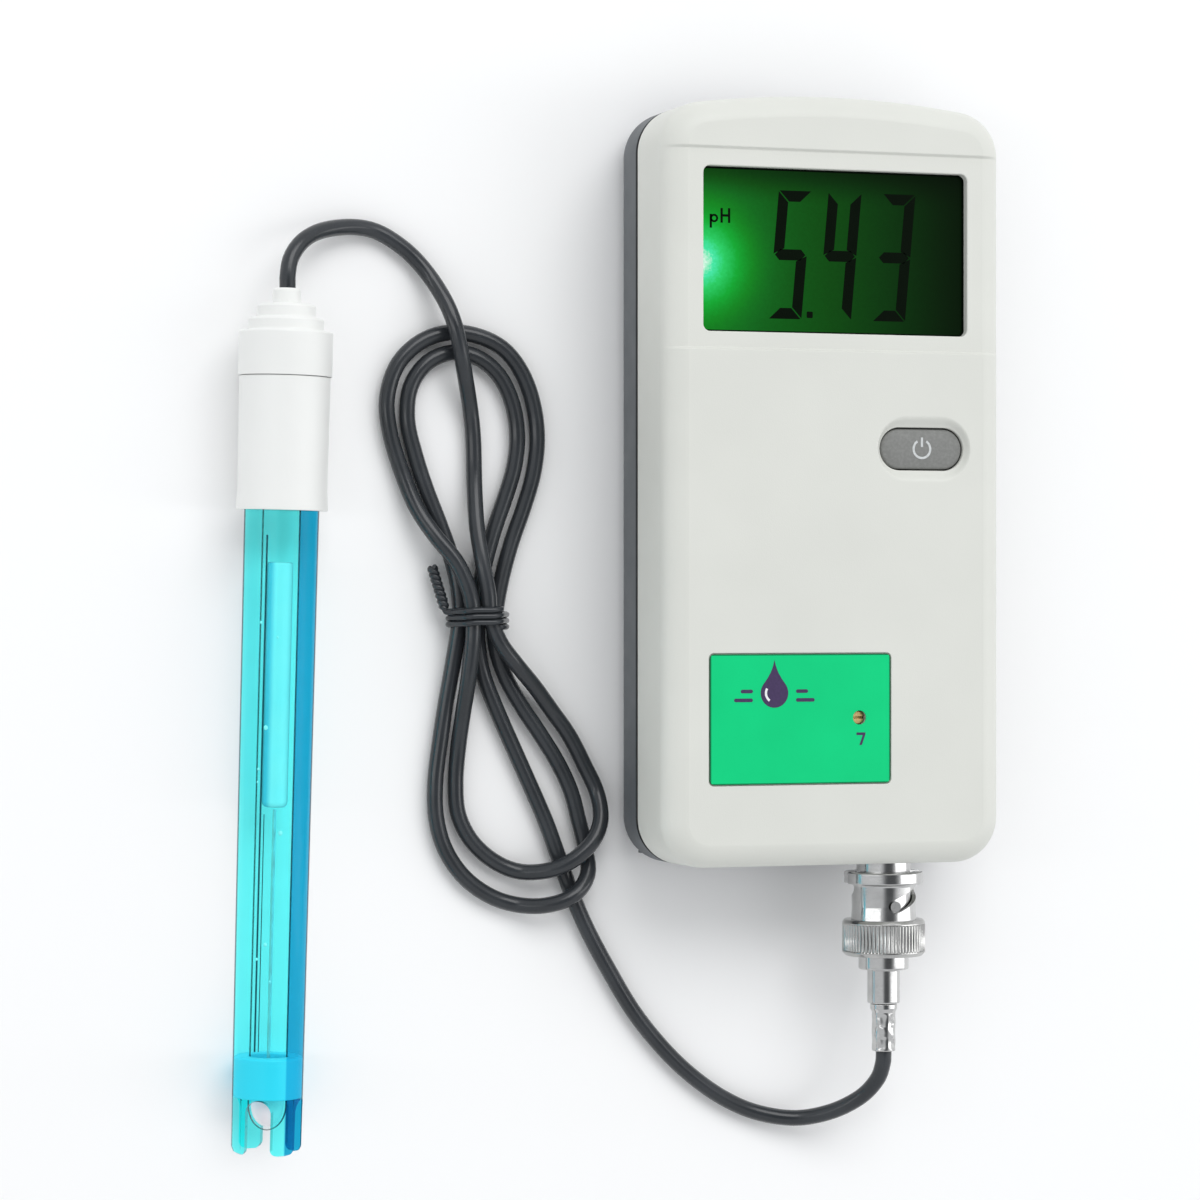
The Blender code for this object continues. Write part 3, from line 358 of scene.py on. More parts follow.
def display_face():
    """A dark liquid crystal face, lit by one green lamp at the middle of its left edge.

    The light falls off across the face, and the lamp's halo washes out to white at its centre."""
    m = Finish("display_face", 0.12, specular=0.04)
    x, y = m.axis("X"), m.axis("Y")
    across = m.span(x, -24.2, 24.2, 1.0, 0.0)
    field = m.plus(m.times(m.math("POWER", across, 1.3), 0.140), 0.005)
    # painted shade: the glow is darkened toward the top edge, where the bezel shades the face
    painted_top_shade = m.span(y, DISPLAY[1] + 7.5, DISPLAY[1] + 13.8, 1.0, 0.3, smooth=True)
    field = m.times(field, painted_top_shade)
    dx, dy = m.minus(x, LAMP[0]), m.minus(y, LAMP[1])
    far = m.math("SQRT", m.plus(m.times(dx, dx), m.times(dy, dy)))
    halo_r = 6.6
    falling = m.math("POWER", m.math("DIVIDE", far, halo_r), 1.7)
    halo = m.times(m.math("EXPONENT", m.times(falling, -1.0)), 0.80)
    level = m.plus(field, halo)
    cells = m.span(m.noise(0.5, 2.0), 0.3, 0.7, 0.95, 1.05)
    level = m.times(level, cells)
    glow = m.ramp(level, [
        (0.0, (0.001, 0.002, 0.001)), (0.010, (0.0022, 0.010, 0.0022)),
        (0.034, (0.0035, 0.034, 0.0045)), (0.065, (0.005, 0.065, 0.006)),
        (0.13, (0.0065, 0.13, 0.013)), (0.23, (0.0075, 0.227, 0.016)),
        (0.386, (0.008, 0.386, 0.035)), (0.617, (0.027, 0.617, 0.136)),
        (0.80, (0.067, 0.81, 0.397)), (0.88, (0.45, 0.88, 0.63)), (0.96, (0.9, 1.0, 0.93))])
    m.colour((0.001, 0.004, 0.001, 1.0))
    m.set("Emission Color", glow)
    m.set("Emission Strength", 1.0)
    m.vary(m.noise(8.0), 0.09, 0.16)
    return m.material


def label_film():
    """A printed green film with a satin, faintly orange-peeled face, and painted shade round its
    edge.
    """
    m = Finish("label_film", 0.38, specular=0.12)
    green = (0.0045, 0.62, 0.215)
    cloud = m.noise(14.0, 3.0)
    body = m.blend(m.span(cloud, 0.35, 0.65), shade(green, 0.96), shade(green, 1.03))
    print_dots = m.span(m.noise(0.25, 1.0), 0.6, 0.8, 0.0, 0.2)
    body = m.blend(print_dots, body, shade(green, 0.8))
    # painted shade: a dark band 0.22 mm wide round the edge, where the pocket's wall shades the
    # label
    edge = 0.22
    rim = m.math("MAXIMUM", *(m.over(m.apart(m.axis(name), middle), size / 2 - edge)
                              for name, middle, size in zip("XY", LABEL, LABEL_SIZE)))
    m.colour(m.blend(m.times(rim, 0.75), body, (0.004, 0.05, 0.02)))
    m.bump(m.noise(0.9, 1.0), 0.01)
    return m.material


def see_through(name, left, right=None, gloss=0.12, where=None, rim=None):
    """Clear tinted plastic or glass: light passes through, and the skin mirrors at a slant.

    The tint goes from left to right as where(m) goes from 0 to 1, and is left's alone without it.
    Where the flank of the skin turns away past rim, both from the view and from one fixed slant,
    the tint goes dark: partly a thick edge's dark, partly painted shade lines fixed to that slant."""
    m = Finish(name, 0.05)
    m.tree.nodes.remove(m.shader)
    output = m.tree.nodes["Material Output"]
    clear = m.add("ShaderNodeBsdfTransparent")
    mirror = m.add("ShaderNodeBsdfGlossy")
    mirror.inputs["Roughness"].default_value = 0.06
    mirror.inputs["Color"].default_value = (0.9, 0.98, 1.0, 1.0)
    mixer = m.add("ShaderNodeMixShader")
    if where is None:
        tint = m.blend(m.span(m.noise(6.0), 0.3, 0.7), left, shade(left, 0.985))
    else:
        tint = m.blend(where(m), left, right)
    facing = m.add("ShaderNodeLayerWeight")
    facing.inputs["Blend"].default_value = gloss
    if rim:
        # painted shade: dark edge lines where the skin turns away from the fixed slant and from the
        # view
        toward = m.add("ShaderNodeVectorMath", operation="DOT_PRODUCT")
        m.put(toward.inputs[0], m.add("ShaderNodeNewGeometry").outputs["Normal"])
        toward.inputs[1].default_value = Vector((-SLANT, 0.0, 1.0)).normalized()
        upright = m.minus(1.0, m.math("ABSOLUTE", toward.outputs["Value"]))
        edge = m.span(m.math("MINIMUM", upright, m.facing()), rim, rim + 0.08)
        tint = m.blend(edge, tint, shade(right or left, 0.25))
    m.put(clear.inputs["Color"], tint)
    front = m.minus(1.0, m.add("ShaderNodeNewGeometry").outputs["Backfacing"])
    m.put(mixer.inputs[0], m.times(facing.outputs["Fresnel"], front))
    m.put(mixer.inputs[1], clear.outputs[0])
    m.put(mixer.inputs[2], mirror.outputs[0])
    m.put(output.inputs["Surface"], mixer.outputs[0])
    return m.material


def across_tube(m):
    """Millimetres to the right of the electrode's axis, along lines that lean like SLANT."""
    span = NECK - TIP
    along = m.math("DIVIDE", m.minus(m.axis("Y"), TIP.y), span.y)
    middle = m.plus(m.times(along, span.x), TIP.x)
    level = m.plus(m.times(along, span.z), TIP.z)
    height = m.minus(m.axis("Z"), level)
    return m.plus(m.minus(m.axis("X"), middle), m.times(height, SLANT))


def painted_shade_third(m):
    """1 in the right third of the tube, which is tinted deeper blue as painted shade, and 0
    elsewhere.
    """
    return m.span(across_tube(m), 2.95, 3.3, smooth=True)


def element_gel():
    """The pale filling of the inner element, darker and deeper blue on its left and round its rim
    as painted shade.
    """
    m = Finish("element_gel", 0.34, specular=0.4)
    # painted shade: the left side darker and deeper blue
    side = m.span(across_tube(m), -1.7, -0.5, smooth=True)
    cloud = m.span(m.noise(5.0), 0.3, 0.7)
    body = m.blend(side, (0.10, 0.60, 0.78), m.blend(cloud, (0.40, 0.93, 0.97), (0.46, 0.96, 0.98)))
    # painted shade: the colour darkens round the rim as the surface turns from view
    rim = m.math("POWER", m.facing(), 3.0)
    m.colour(m.blend(rim, body, (0.01, 0.14, 0.20)))
    m.bump(m.noise(0.5, 1.0), 0.003)
    return m.material


WHITE_PLASTIC = moulded("case_plastic", (0.69, 0.698, 0.652), 0.45)
# The back's plastic has a painted shadow line along its top edge at the seam.
DARK_PLASTIC = moulded("back_plastic", (0.115, 0.125, 0.135), 0.5, seam=SEAM_Z - 0.78)
BUTTON_RUBBER = rubbery("button_rubber", (0.205, 0.208, 0.2))
BUTTON_MARK = rubbery("button_mark", (0.55, 0.57, 0.57))
CAP_PLASTIC = moulded("cap_plastic", (0.84, 0.847, 0.83), 0.36, grain=0.5, depth=0.005)
NICKEL = plated("nickel_plate", (0.58, 0.58, 0.575), 0.15)
NICKEL_KNURL = plated("nickel_knurl", (0.5, 0.5, 0.49), 0.18)
STEEL = plated("screw_steel", (0.55, 0.55, 0.56), 0.37, along="Z")
BRASS = plated("brass", (0.72, 0.52, 0.24), 0.37, along="Z")
SILVER = plated("silver_wire_metal", (0.8, 0.8, 0.78), 0.37)
CABLE_PVC = jacket("cable_pvc", (0.032, 0.036, 0.041), 0.2)
TIE_PVC = jacket("tie_pvc", (0.028, 0.032, 0.037), 0.18)
RED_PVC = jacket("red_pvc", (0.5, 0.02, 0.02))
BLACK_PVC = jacket("black_pvc", (0.02, 0.02, 0.02))
DISPLAY_FACE = display_face()
SEGMENT_INK = moulded("segment_ink", (0.002, 0.005, 0.002), 0.35, specular=0.03)
LABEL_FILM = label_film()
LABEL_INK = rubbery("label_ink", (0.05, 0.03, 0.09))
LABEL_WHITE = rubbery("label_white", (0.8, 0.8, 0.82))
# The tube's right third is tinted deeper blue as painted shade, and rim paints dark edge lines.
TUBE_CLEAR = see_through("tube_clear", (0.38, 1.0, 1.0), (0.125, 0.64, 0.81), where=painted_shade_third,
                         rim=0.70)
WALL_CLEAR = see_through("wall_clear", (0.985, 0.998, 1.0))
# The stem's rim paints dark edge lines as painted shade.
STEM_CLEAR = see_through("stem_clear", (0.985, 0.998, 1.0), gloss=0.2, rim=0.56)
ELEMENT_GEL = element_gel()
# Thin dark rods inside the stem that draw painted shade lines.
PAINTED_SHADE_LINES = jacket("painted_shade_line", (0.008, 0.06, 0.09))
SEAL_CYAN = moulded("seal_cyan", (0.09, 0.72, 0.93), 0.34, grain=0.4, depth=0.004)
MILKY = moulded("milky_coating", (0.86, 0.84, 0.88), 0.2, grain=0.5, depth=0.003)
BUBBLE_CLEAR = moulded("bubble_skin", (0.6, 0.97, 0.97), 0.08, grain=0.3, depth=0.002)


# ---- mesh tools
def linked(name, data, material=None):
    """A new object in the scene, made of the given data."""
    if material:
        data.materials.append(material)
    obj = bpy.data.objects.new(name, data)
    bpy.context.scene.collection.objects.link(obj)
    return obj


def mesh_object(name, bm, material=None):
    """A new object from a bmesh in millimetres of the row frame, its faces turned outward."""
    bmesh.ops.recalc_face_normals(bm, faces=bm.faces)
    bmesh.ops.scale(bm, vec=(MM, MM, MM), verts=bm.verts)
    mesh = bpy.data.meshes.new(name)
    bm.to_mesh(mesh)
    bm.free()
    return linked(name, mesh, material)


def smooth(obj, degrees=40.0):
    obj.data.shade_smooth()
    obj.data.set_sharp_from_angle(angle=math.radians(degrees))
    return obj


def keep(obj, body, replaces=()):
    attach(obj, body)
    if replaces:
        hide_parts(*replaces)
    return obj


def carve(obj, tools, operation="DIFFERENCE"):
    """Cut, join or intersect the object with each tool, which is used up."""
    for tool in tools:
        modifier = obj.modifiers.new("carve", "BOOLEAN")
        modifier.operation = operation
        modifier.solver = "MANIFOLD"
        modifier.object = tool
    evaluated = obj.evaluated_get(bpy.context.evaluated_depsgraph_get())
    mesh = bpy.data.meshes.new_from_object(evaluated)
    while mesh.materials and mesh.materials[-1] is None:
        mesh.materials.pop()
    obj.modifiers.clear()
    obj.data, old = mesh, obj.data
    bpy.data.meshes.remove(old)
    for tool in tools:
        bpy.data.objects.remove(tool, do_unlink=True)


def arc(cx, cy, r, start, end, count):
    """Points on a circle between two angles in degrees, both ends included."""
    angles = [math.radians(start + (end - start) * i / count) for i in range(count + 1)]
    return [(cx + r * math.cos(a), cy + r * math.sin(a)) for a in angles]


def rounded_rectangle(centre, size, radius, grow=0.0, count=8):
    cx, cy = centre
    dx = size[0] / 2.0 - radius
    dy = size[1] / 2.0 - radius
    points = []
    for sx, sy, start in ((1, 1, 0), (-1, 1, 90), (-1, -1, 180), (1, -1, 270)):
        points += arc(cx + sx * dx, cy + sy * dy, radius + grow, start, start + 90, count)
    return points


def pill(centre, size, grow=0.0, count=24):
    cx, cy = centre
    r = size[1] / 2.0
    dx = size[0] / 2.0 - r
    return arc(cx + dx, cy, r + grow, -90, 90, count) + arc(cx - dx, cy, r + grow, 90, 270, count)


def circle(centre, radius, count=40):
    return arc(*centre, radius, 0.0, 360.0 - 360.0 / count, count - 1)


def ease(t):
    t = min(1.0, max(0.0, t))
    return t * t * (3.0 - 2.0 * t)


def pairs(loop):
    """Each item of a closed loop with the one after it."""
    return zip(loop, loop[1:] + loop[:1])


def inside(point, loop):
    """True if a flat point lies in a closed loop."""
    x, y = point
    found = False
    for (ax, ay), (bx, by) in pairs(loop):
        if (ay > y) != (by > y) and x < (bx - ax) * (y - ay) / (by - ay) + ax:
            found = not found
    return found


def quarter(count, first=0):
    """(1 - cos, sin) of each step from first on through a quarter turn."""
    turns = [math.pi / 2 * k / count for k in range(first, count + 1)]
    return [(1.0 - math.cos(turn), math.sin(turn)) for turn in turns]


def grown(size, by):
    return (size[0] + by, size[1] + by)


def band(bm, a, b):
    """Four-sided faces between two loops of as many corners."""
    for (low, next_low), (high, next_high) in zip(pairs(a), pairs(b)):
        bm.faces.new((low, next_low, next_high, high))


def add_plate(bm, outline, z):
    """A flat shape standing between two heights, added to the mesh."""
    low, high = ([bm.verts.new((x, y, height)) for x, y in outline] for height in z)
    bm.faces.new(list(reversed(low)))
    bm.faces.new(high)
    band(bm, low, high)


def add_ring_plate(bm, outer, inner, z):
    """A flat ring between two loops of as many points, standing between two heights."""
    loops = [[bm.verts.new((x, y, height)) for x, y in loop]
             for loop, height in ((outer, z[1]), (inner, z[1]), (inner, z[0]), (outer, z[0]))]
    for a, b in pairs(loops):
        band(bm, a, b)


def rectangle(x, y):
    return [(x[0], y[0]), (x[1], y[0]), (x[1], y[1]), (x[0], y[1])]


def flat_marks(name, material, body, z, plates=(), rings=()):
    """Flat marks between two heights: plates by their outlines, and rings by pairs of loops."""
    bm = bmesh.new()
    for outer, inner in rings:
        add_ring_plate(bm, outer, inner, z)
    for outline in plates:
        add_plate(bm, outline, z)
    keep(mesh_object(name, bm, material), body)


class Skin:
    """A surface built from rings of points, strips between rings and filled outlines."""

    def __init__(self):
        self.bm = bmesh.new()

    def ring(self, points, height):
        """A loop at a height, which is a number or a function of (x, y)."""
        if callable(height):
            return [self.bm.verts.new((x, y, height(x, y))) for x, y in points]
        return [self.bm.verts.new((x, y, height)) for x, y in points]

    def strip(self, a, b):
        band(self.bm, a, b)
        return b

    def stack(self, first, levels):
        """Strips from the ring first through each (points, height) in turn."""
        last = first
        for points, height in levels:
            last = self.strip(last, self.ring(points, height))
        return last

    def fill(self, outer, holes=(), ties=()):
        """Triangles between the outer ring and the holes; ties are edges across the outer ring."""
        verts = list(outer)
        edges = []
        for loop in (outer, *holes):
            base = 0 if loop is outer else len(verts)
            if base:
                verts += loop
            edges += [(base + i, base + (i + 1) % len(loop)) for i in range(len(loop))]
        edges += ties
        flat = [v.co.xy for v in verts]
        spots, _, faces, origins, _, _ = delaunay_2d_cdt(flat, edges, [], 0, 1e-6)
        corner = []
        for spot, origin in zip(spots, origins):
            if origin:
                corner.append(verts[origin[0]])
            else:
                corner.append(self.bm.verts.new((*spot, outer[0].co.z)))
        rim = [tuple(v.co.xy) for v in outer]
        gaps = [[tuple(v.co.xy) for v in hole] for hole in holes]
        for face in faces:
            middle = sum((spots[i] for i in face), Vector((0.0, 0.0))) / len(face)
            if inside(middle, rim) and not any(inside(middle, gap) for gap in gaps):
                self.bm.faces.new([corner[i] for i in face])

    def finish(self, name, material=None):
        return mesh_object(name, self.bm, material)


def prism(name, outline, z):
    """A flat outline made solid between two heights."""
    skin = Skin()
    low = skin.ring(outline, z[0])
    high = skin.strip(low, skin.ring(outline, z[1]))
    skin.fill(low)
    skin.fill(high)
    return skin.finish(name)


def block(name, *limits):
    """A block between the given limits along X, Y and Z."""
    bm = bmesh.new()
    bmesh.ops.create_cube(bm, size=1.0)
    bmesh.ops.scale(bm, vec=[high - low for low, high in limits], verts=bm.verts)
    bmesh.ops.translate(bm, vec=[(low + high) / 2.0 for low, high in limits], verts=bm.verts)
    return mesh_object(name, bm)


def bar(name, start, end, radius, sides=40):
    """A round bar from one point to another."""
    along = end - start
    bm = bmesh.new()
    bmesh.ops.create_cone(bm, cap_ends=True, segments=sides, radius1=radius, radius2=radius,
                          depth=along.length)
    lean = along.to_track_quat("Z", "Y").to_matrix().to_4x4()
    bmesh.ops.transform(bm, matrix=Matrix.Translation((start + end) / 2.0) @ lean, verts=bm.verts)
    return mesh_object(name, bm)


def filleted(profile, radius, closed=False, steps=4, support=0.07):
    """The profile with its corners rounded, and a support point beside each rounding so that
    flats stay flat when shaded. A corner given as (r, z, own radius) keeps its own rounding."""
    nearly_flat = math.radians(174.0)
    most = 0.42              # the share of a side that a rounding may take up
    least_extra = 0.005      # a support point closer than this is left out
    corners = [Vector(p[:2]) for p in profile]
    points = []
    for i, corner in enumerate(corners):
        own_radius = profile[i][2] if len(profile[i]) > 2 else radius
        to_last = corners[i - 1] - corner
        to_next = corners[(i + 1) % len(corners)] - corner
        angle = to_last.angle(to_next)
        at_end = not closed and i in (0, len(corners) - 1)
        if at_end or angle > nearly_flat or own_radius <= 0.0:
            points.append(corner)
            continue
        u, v = to_last.normalized(), to_next.normalized()
        side = min(to_last.length, to_next.length)
        tangent = min(own_radius / math.tan(angle / 2.0), most * side)
        r = tangent * math.tan(angle / 2.0)
        centre = corner + (u + v).normalized() * (r / math.sin(angle / 2.0))
        start = corner + u * tangent - centre
        turn = start.angle_signed(corner + v * tangent - centre)
        extra = min(support, 0.5 * (side * 0.5 - tangent))
        rounding = []
        for k in range(steps + 1):
            a = -turn * k / steps
            c, s = math.cos(a), math.sin(a)
            rounding.append(centre + Vector((start.x * c - start.y * s, start.x * s + start.y * c)))
        if extra > least_extra:
            rounding = [corner + u * (tangent + extra), *rounding, corner + v * (tangent + extra)]
        points += rounding
    return points


def lathe_bmesh(bm, profile, place, closed=False, steps=96, wave=None):
    """Turn a profile of (r, z) about the local Z of place; wave(angle, r, z) alters the radius."""
    on_axis = 1e-6
    columns = []
    for i in range(steps):
        angle = 2.0 * math.pi * i / steps
        column = []
        for k, (r, z) in enumerate(profile):
            if r < on_axis and columns:
                column.append(columns[0][k])
                continue
            reach = wave(angle, r, z) if wave and r > on_axis else r
            spot = Vector((reach * math.cos(angle), reach * math.sin(angle), z))
            column.append(bm.verts.new(place @ spot))
        columns.append(column)
    for a, b in pairs(columns):
        for k in range(len(profile) if closed else len(profile) - 1):
            n = (k + 1) % len(profile)
            face = list(dict.fromkeys((a[k], a[n], b[n], b[k])))
            if len(face) > 2:
                bm.faces.new(face)


def lathe(name, profile, place, material, closed=False, steps=96, radius=0.0, wave=None):
    """A turned piece; its corners are rounded by radius, save those with their own rounding."""
    bm = bmesh.new()
    points = filleted(profile, radius, closed) if radius else [Vector(p[:2]) for p in profile]
    lathe_bmesh(bm, points, place, closed, steps, wave)
    return mesh_object(name, bm, material)


def turned(name, profile, place, material, body, slot, stands_for=(), degrees=40.0, **form):
    """A finished piece that is turned on a lathe."""
    piece = smooth(lathe(name, profile, place, material, **form), degrees)
    return keep(piece, body, stands_for)


JACK_PLACE = Matrix.Translation((JACK_X, CASE_LOW, JACK_Z)) @ Matrix.Rotation(math.pi / 2, 4, "X")
ELECTRODE_PLACE = (Matrix.Translation(TIP)
                   @ (NECK - TIP).to_track_quat("Z", "Y").to_matrix().to_4x4())


def smooth_path(route, step, floor=None):
    """Points every step or so along the smooth curve through the route's own points."""
    samples = 12
    knots = [Vector(p) for p in route]
    knots = [2 * knots[0] - knots[1]] + knots + [2 * knots[-1] - knots[-2]]
    fine = []
    for a, b, c, d in zip(knots, knots[1:], knots[2:], knots[3:]):   # a Catmull-Rom spline
        for i in range(samples):
            t = i / samples
            fine.append(0.5 * (2 * b + (c - a) * t + (2 * a - 5 * b + 4 * c - d) * t * t
                               + (3 * b - a - 3 * c + d) * t * t * t))
    fine.append(knots[-2])
    if floor is not None:
        for p in fine:
            p.z = max(p.z, floor)
    lengths = [0.0]
    for a, b in zip(fine, fine[1:]):
        lengths.append(lengths[-1] + (b - a).length)
    count = max(1, round(lengths[-1] / step))
    path = []
    i = 0
    for n in range(count + 1):
        want = lengths[-1] * n / count
        while i < len(fine) - 2 and lengths[i + 1] < want:
            i += 1
        share = (want - lengths[i]) / (lengths[i + 1] - lengths[i])
        path.append(fine[i].lerp(fine[i + 1], min(share, 1.0)))
    return path


def cord_object(name, path, radius, material, sides=5):
    """A round cord as one open spline with filled ends."""
    curve = bpy.data.curves.new(name, "CURVE")
    curve.dimensions = "3D"
    curve.bevel_depth = radius * MM
    curve.bevel_resolution = sides
    curve.use_fill_caps = True
    spline = curve.splines.new("POLY")
    spline.points.add(len(path) - 1)
    for point, co in zip(spline.points, path):
        point.co = (*(Vector(co) * MM), 1.0)
    spline.use_smooth = True
    return linked(name, curve, material)


# ---- cable and tie
def make_cable():
    route = [point if len(point) == 3 else (*point, REST_Z) for point in CABLE_ROUTE]
    cable = cord_object("cable", smooth_path(route, 1.1, REST_Z), CABLE_R, CABLE_PVC)
    return keep(cable, PROBE, (
        "cable_electrode_lead", "cable_lower_loop_1", "cable_lower_loop_2",
        "cable_upper_loop_1", "cable_upper_loop_2", "cable_plug_lead"))


def bundle_hull(offset, count=8):
    """The hull of the bundled strands in X and Z, grown outward by offset."""
    points = []
    for before, corner, after in zip(BUNDLE[-1:] + BUNDLE[:-1], BUNDLE, BUNDLE[1:] + BUNDLE[:1]):
        start = math.degrees(math.atan2(corner[1] - before[1], corner[0] - before[0])) - 90.0
        end = math.degrees(math.atan2(after[1] - corner[1], after[0] - corner[0])) - 90.0
        if end < start:
            end += 360.0
        points += arc(corner[0], corner[1], offset, start, end, count)
    return points


def make_tie():
    """A plastic covered wire wound three times round the strands, its ends twisted together."""
    wire_r = 0.5
    hull = bundle_hull(CABLE_R + wire_r + 0.08)
    turns = 3
    pitch = 1.05
    total = turns * len(hull)
    path = []
    for i in range(total + 1):
        x, z = hull[(i + len(hull) // 2) % len(hull)]
        rise = max(z, wire_r + 0.05)
        path.append(Vector((x, TIE_Y + 1.5 - turns * pitch * i / total, rise)))
    start, end = path[0], path[-1]
    root = Vector((-62.9, -22.4, 3.4))
    tip = Vector((-64.9, -14.8, 2.0))
    along = (tip - root).normalized()
    side = along.cross(Vector((0.0, 0.0, 1.0))).normalized()
    over = side.cross(along)
    steps = 44
    twists = 4.2
    for strand, joint in ((0, start), (1, end)):
        tail = []
        for k in range(steps + 1):
            share = k / steps
            turn = 2.0 * math.pi * (twists * share + 0.5 * strand)
            wide = wire_r * 0.98 * ease(share * 6.0)
            spot = root.lerp(tip, share) + (side * math.cos(turn) + over * math.sin(turn)) * wide
            tail.append(spot)
        lead = smooth_path([joint, joint.lerp(tail[0], 0.5) + Vector((-0.25, 0.15, 0.2)), tail[0]],
                           0.25)
        tail = lead[1:] + tail[1:]
        path = path + tail if strand else tail[::-1] + path
    tie = cord_object("cable_tie_wire", path, wire_r, TIE_PVC, sides=4)
    return keep(tie, PROBE, ("cable_tie",))


# ---- case
def outline_half():
    """The right half of the case seen from the front, bottom to top, as (point, normal)."""
    cx = CASE_W / 2.0 - CORNER_R
    end_angle = 90.0 - CROWN_TILT

    def heading(angle):
        return math.cos(math.radians(angle)), math.sin(math.radians(angle))

    meet_x = cx + CORNER_R * heading(end_angle)[0]
    meet_y = CASE_TOP - CROWN_K * meet_x ** 2
    cy = meet_y - CORNER_R * heading(end_angle)[1]
    low_y = CASE_LOW + CORNER_R
    half = [((x, CASE_LOW), (0.0, -1.0)) for x in (0.0, 6.0, 12.0, 18.0, 22.8)]

    def corner(centre_y, angles):
        for c, s in map(heading, angles):
            half.append(((cx + CORNER_R * c, centre_y + CORNER_R * s), (c, s)))

    corner(low_y, [-90.0 + 90.0 * i / 14 for i in range(15)])
    rows = [low_y + 0.25, -50.0, -36.0, -22.0, -8.0, 6.0, 16.0]
    rows += [BAND_Y[0] + d for d in BAND_ROWS]
    rows += [30.0, 39.0, 48.0]
    rows += [BAND_Y[1] + d for d in BAND_ROWS if BAND_Y[1] + d < cy - 0.03]
    half += [((CASE_W / 2.0, y), (1.0, 0.0)) for y in rows]
    corner(cy, [0.0, 1.2, 2.6, 5.0] + [5.0 + (end_angle - 5.0) * i / 13 for i in range(1, 14)])
    for x in (22.0, 17.0, 11.0, 5.5, 0.0):
        normal = Vector((2.0 * CROWN_K * x, 1.0)).normalized()
        half.append(((x, CASE_TOP - CROWN_K * x * x), tuple(normal)))
    return half


HALF = outline_half()


def case_ring(offset):
    """The case's outline, moved inward by offset, as one closed loop."""
    right = [(p[0] - offset * n[0], p[1] - offset * n[1]) for p, n in HALF]
    right[0] = (0.0, right[0][1])
    right[-1] = (0.0, right[-1][1])
    return right + [(-x, y) for x, y in reversed(right[1:-1])]


def band_drop(y):
    fall = ease((y - BAND_Y[0] + STEP_SPREAD) / (2 * STEP_SPREAD))
    rise = ease((y - BAND_Y[1] + STEP_SPREAD) / (2 * STEP_SPREAD))
    return BAND_DEPTH * (fall - rise)


def front_height(x, y):
    return CASE_H - band_drop(y)


def jack_way():
    """The tool that cuts the socket's hole through the lower end of the case."""
    return bar("jack_way", Vector((JACK_X, CASE_LOW + 4.0, JACK_Z)),
               Vector((JACK_X, CASE_LOW - 4.0, JACK_Z)), 5.0, 72)


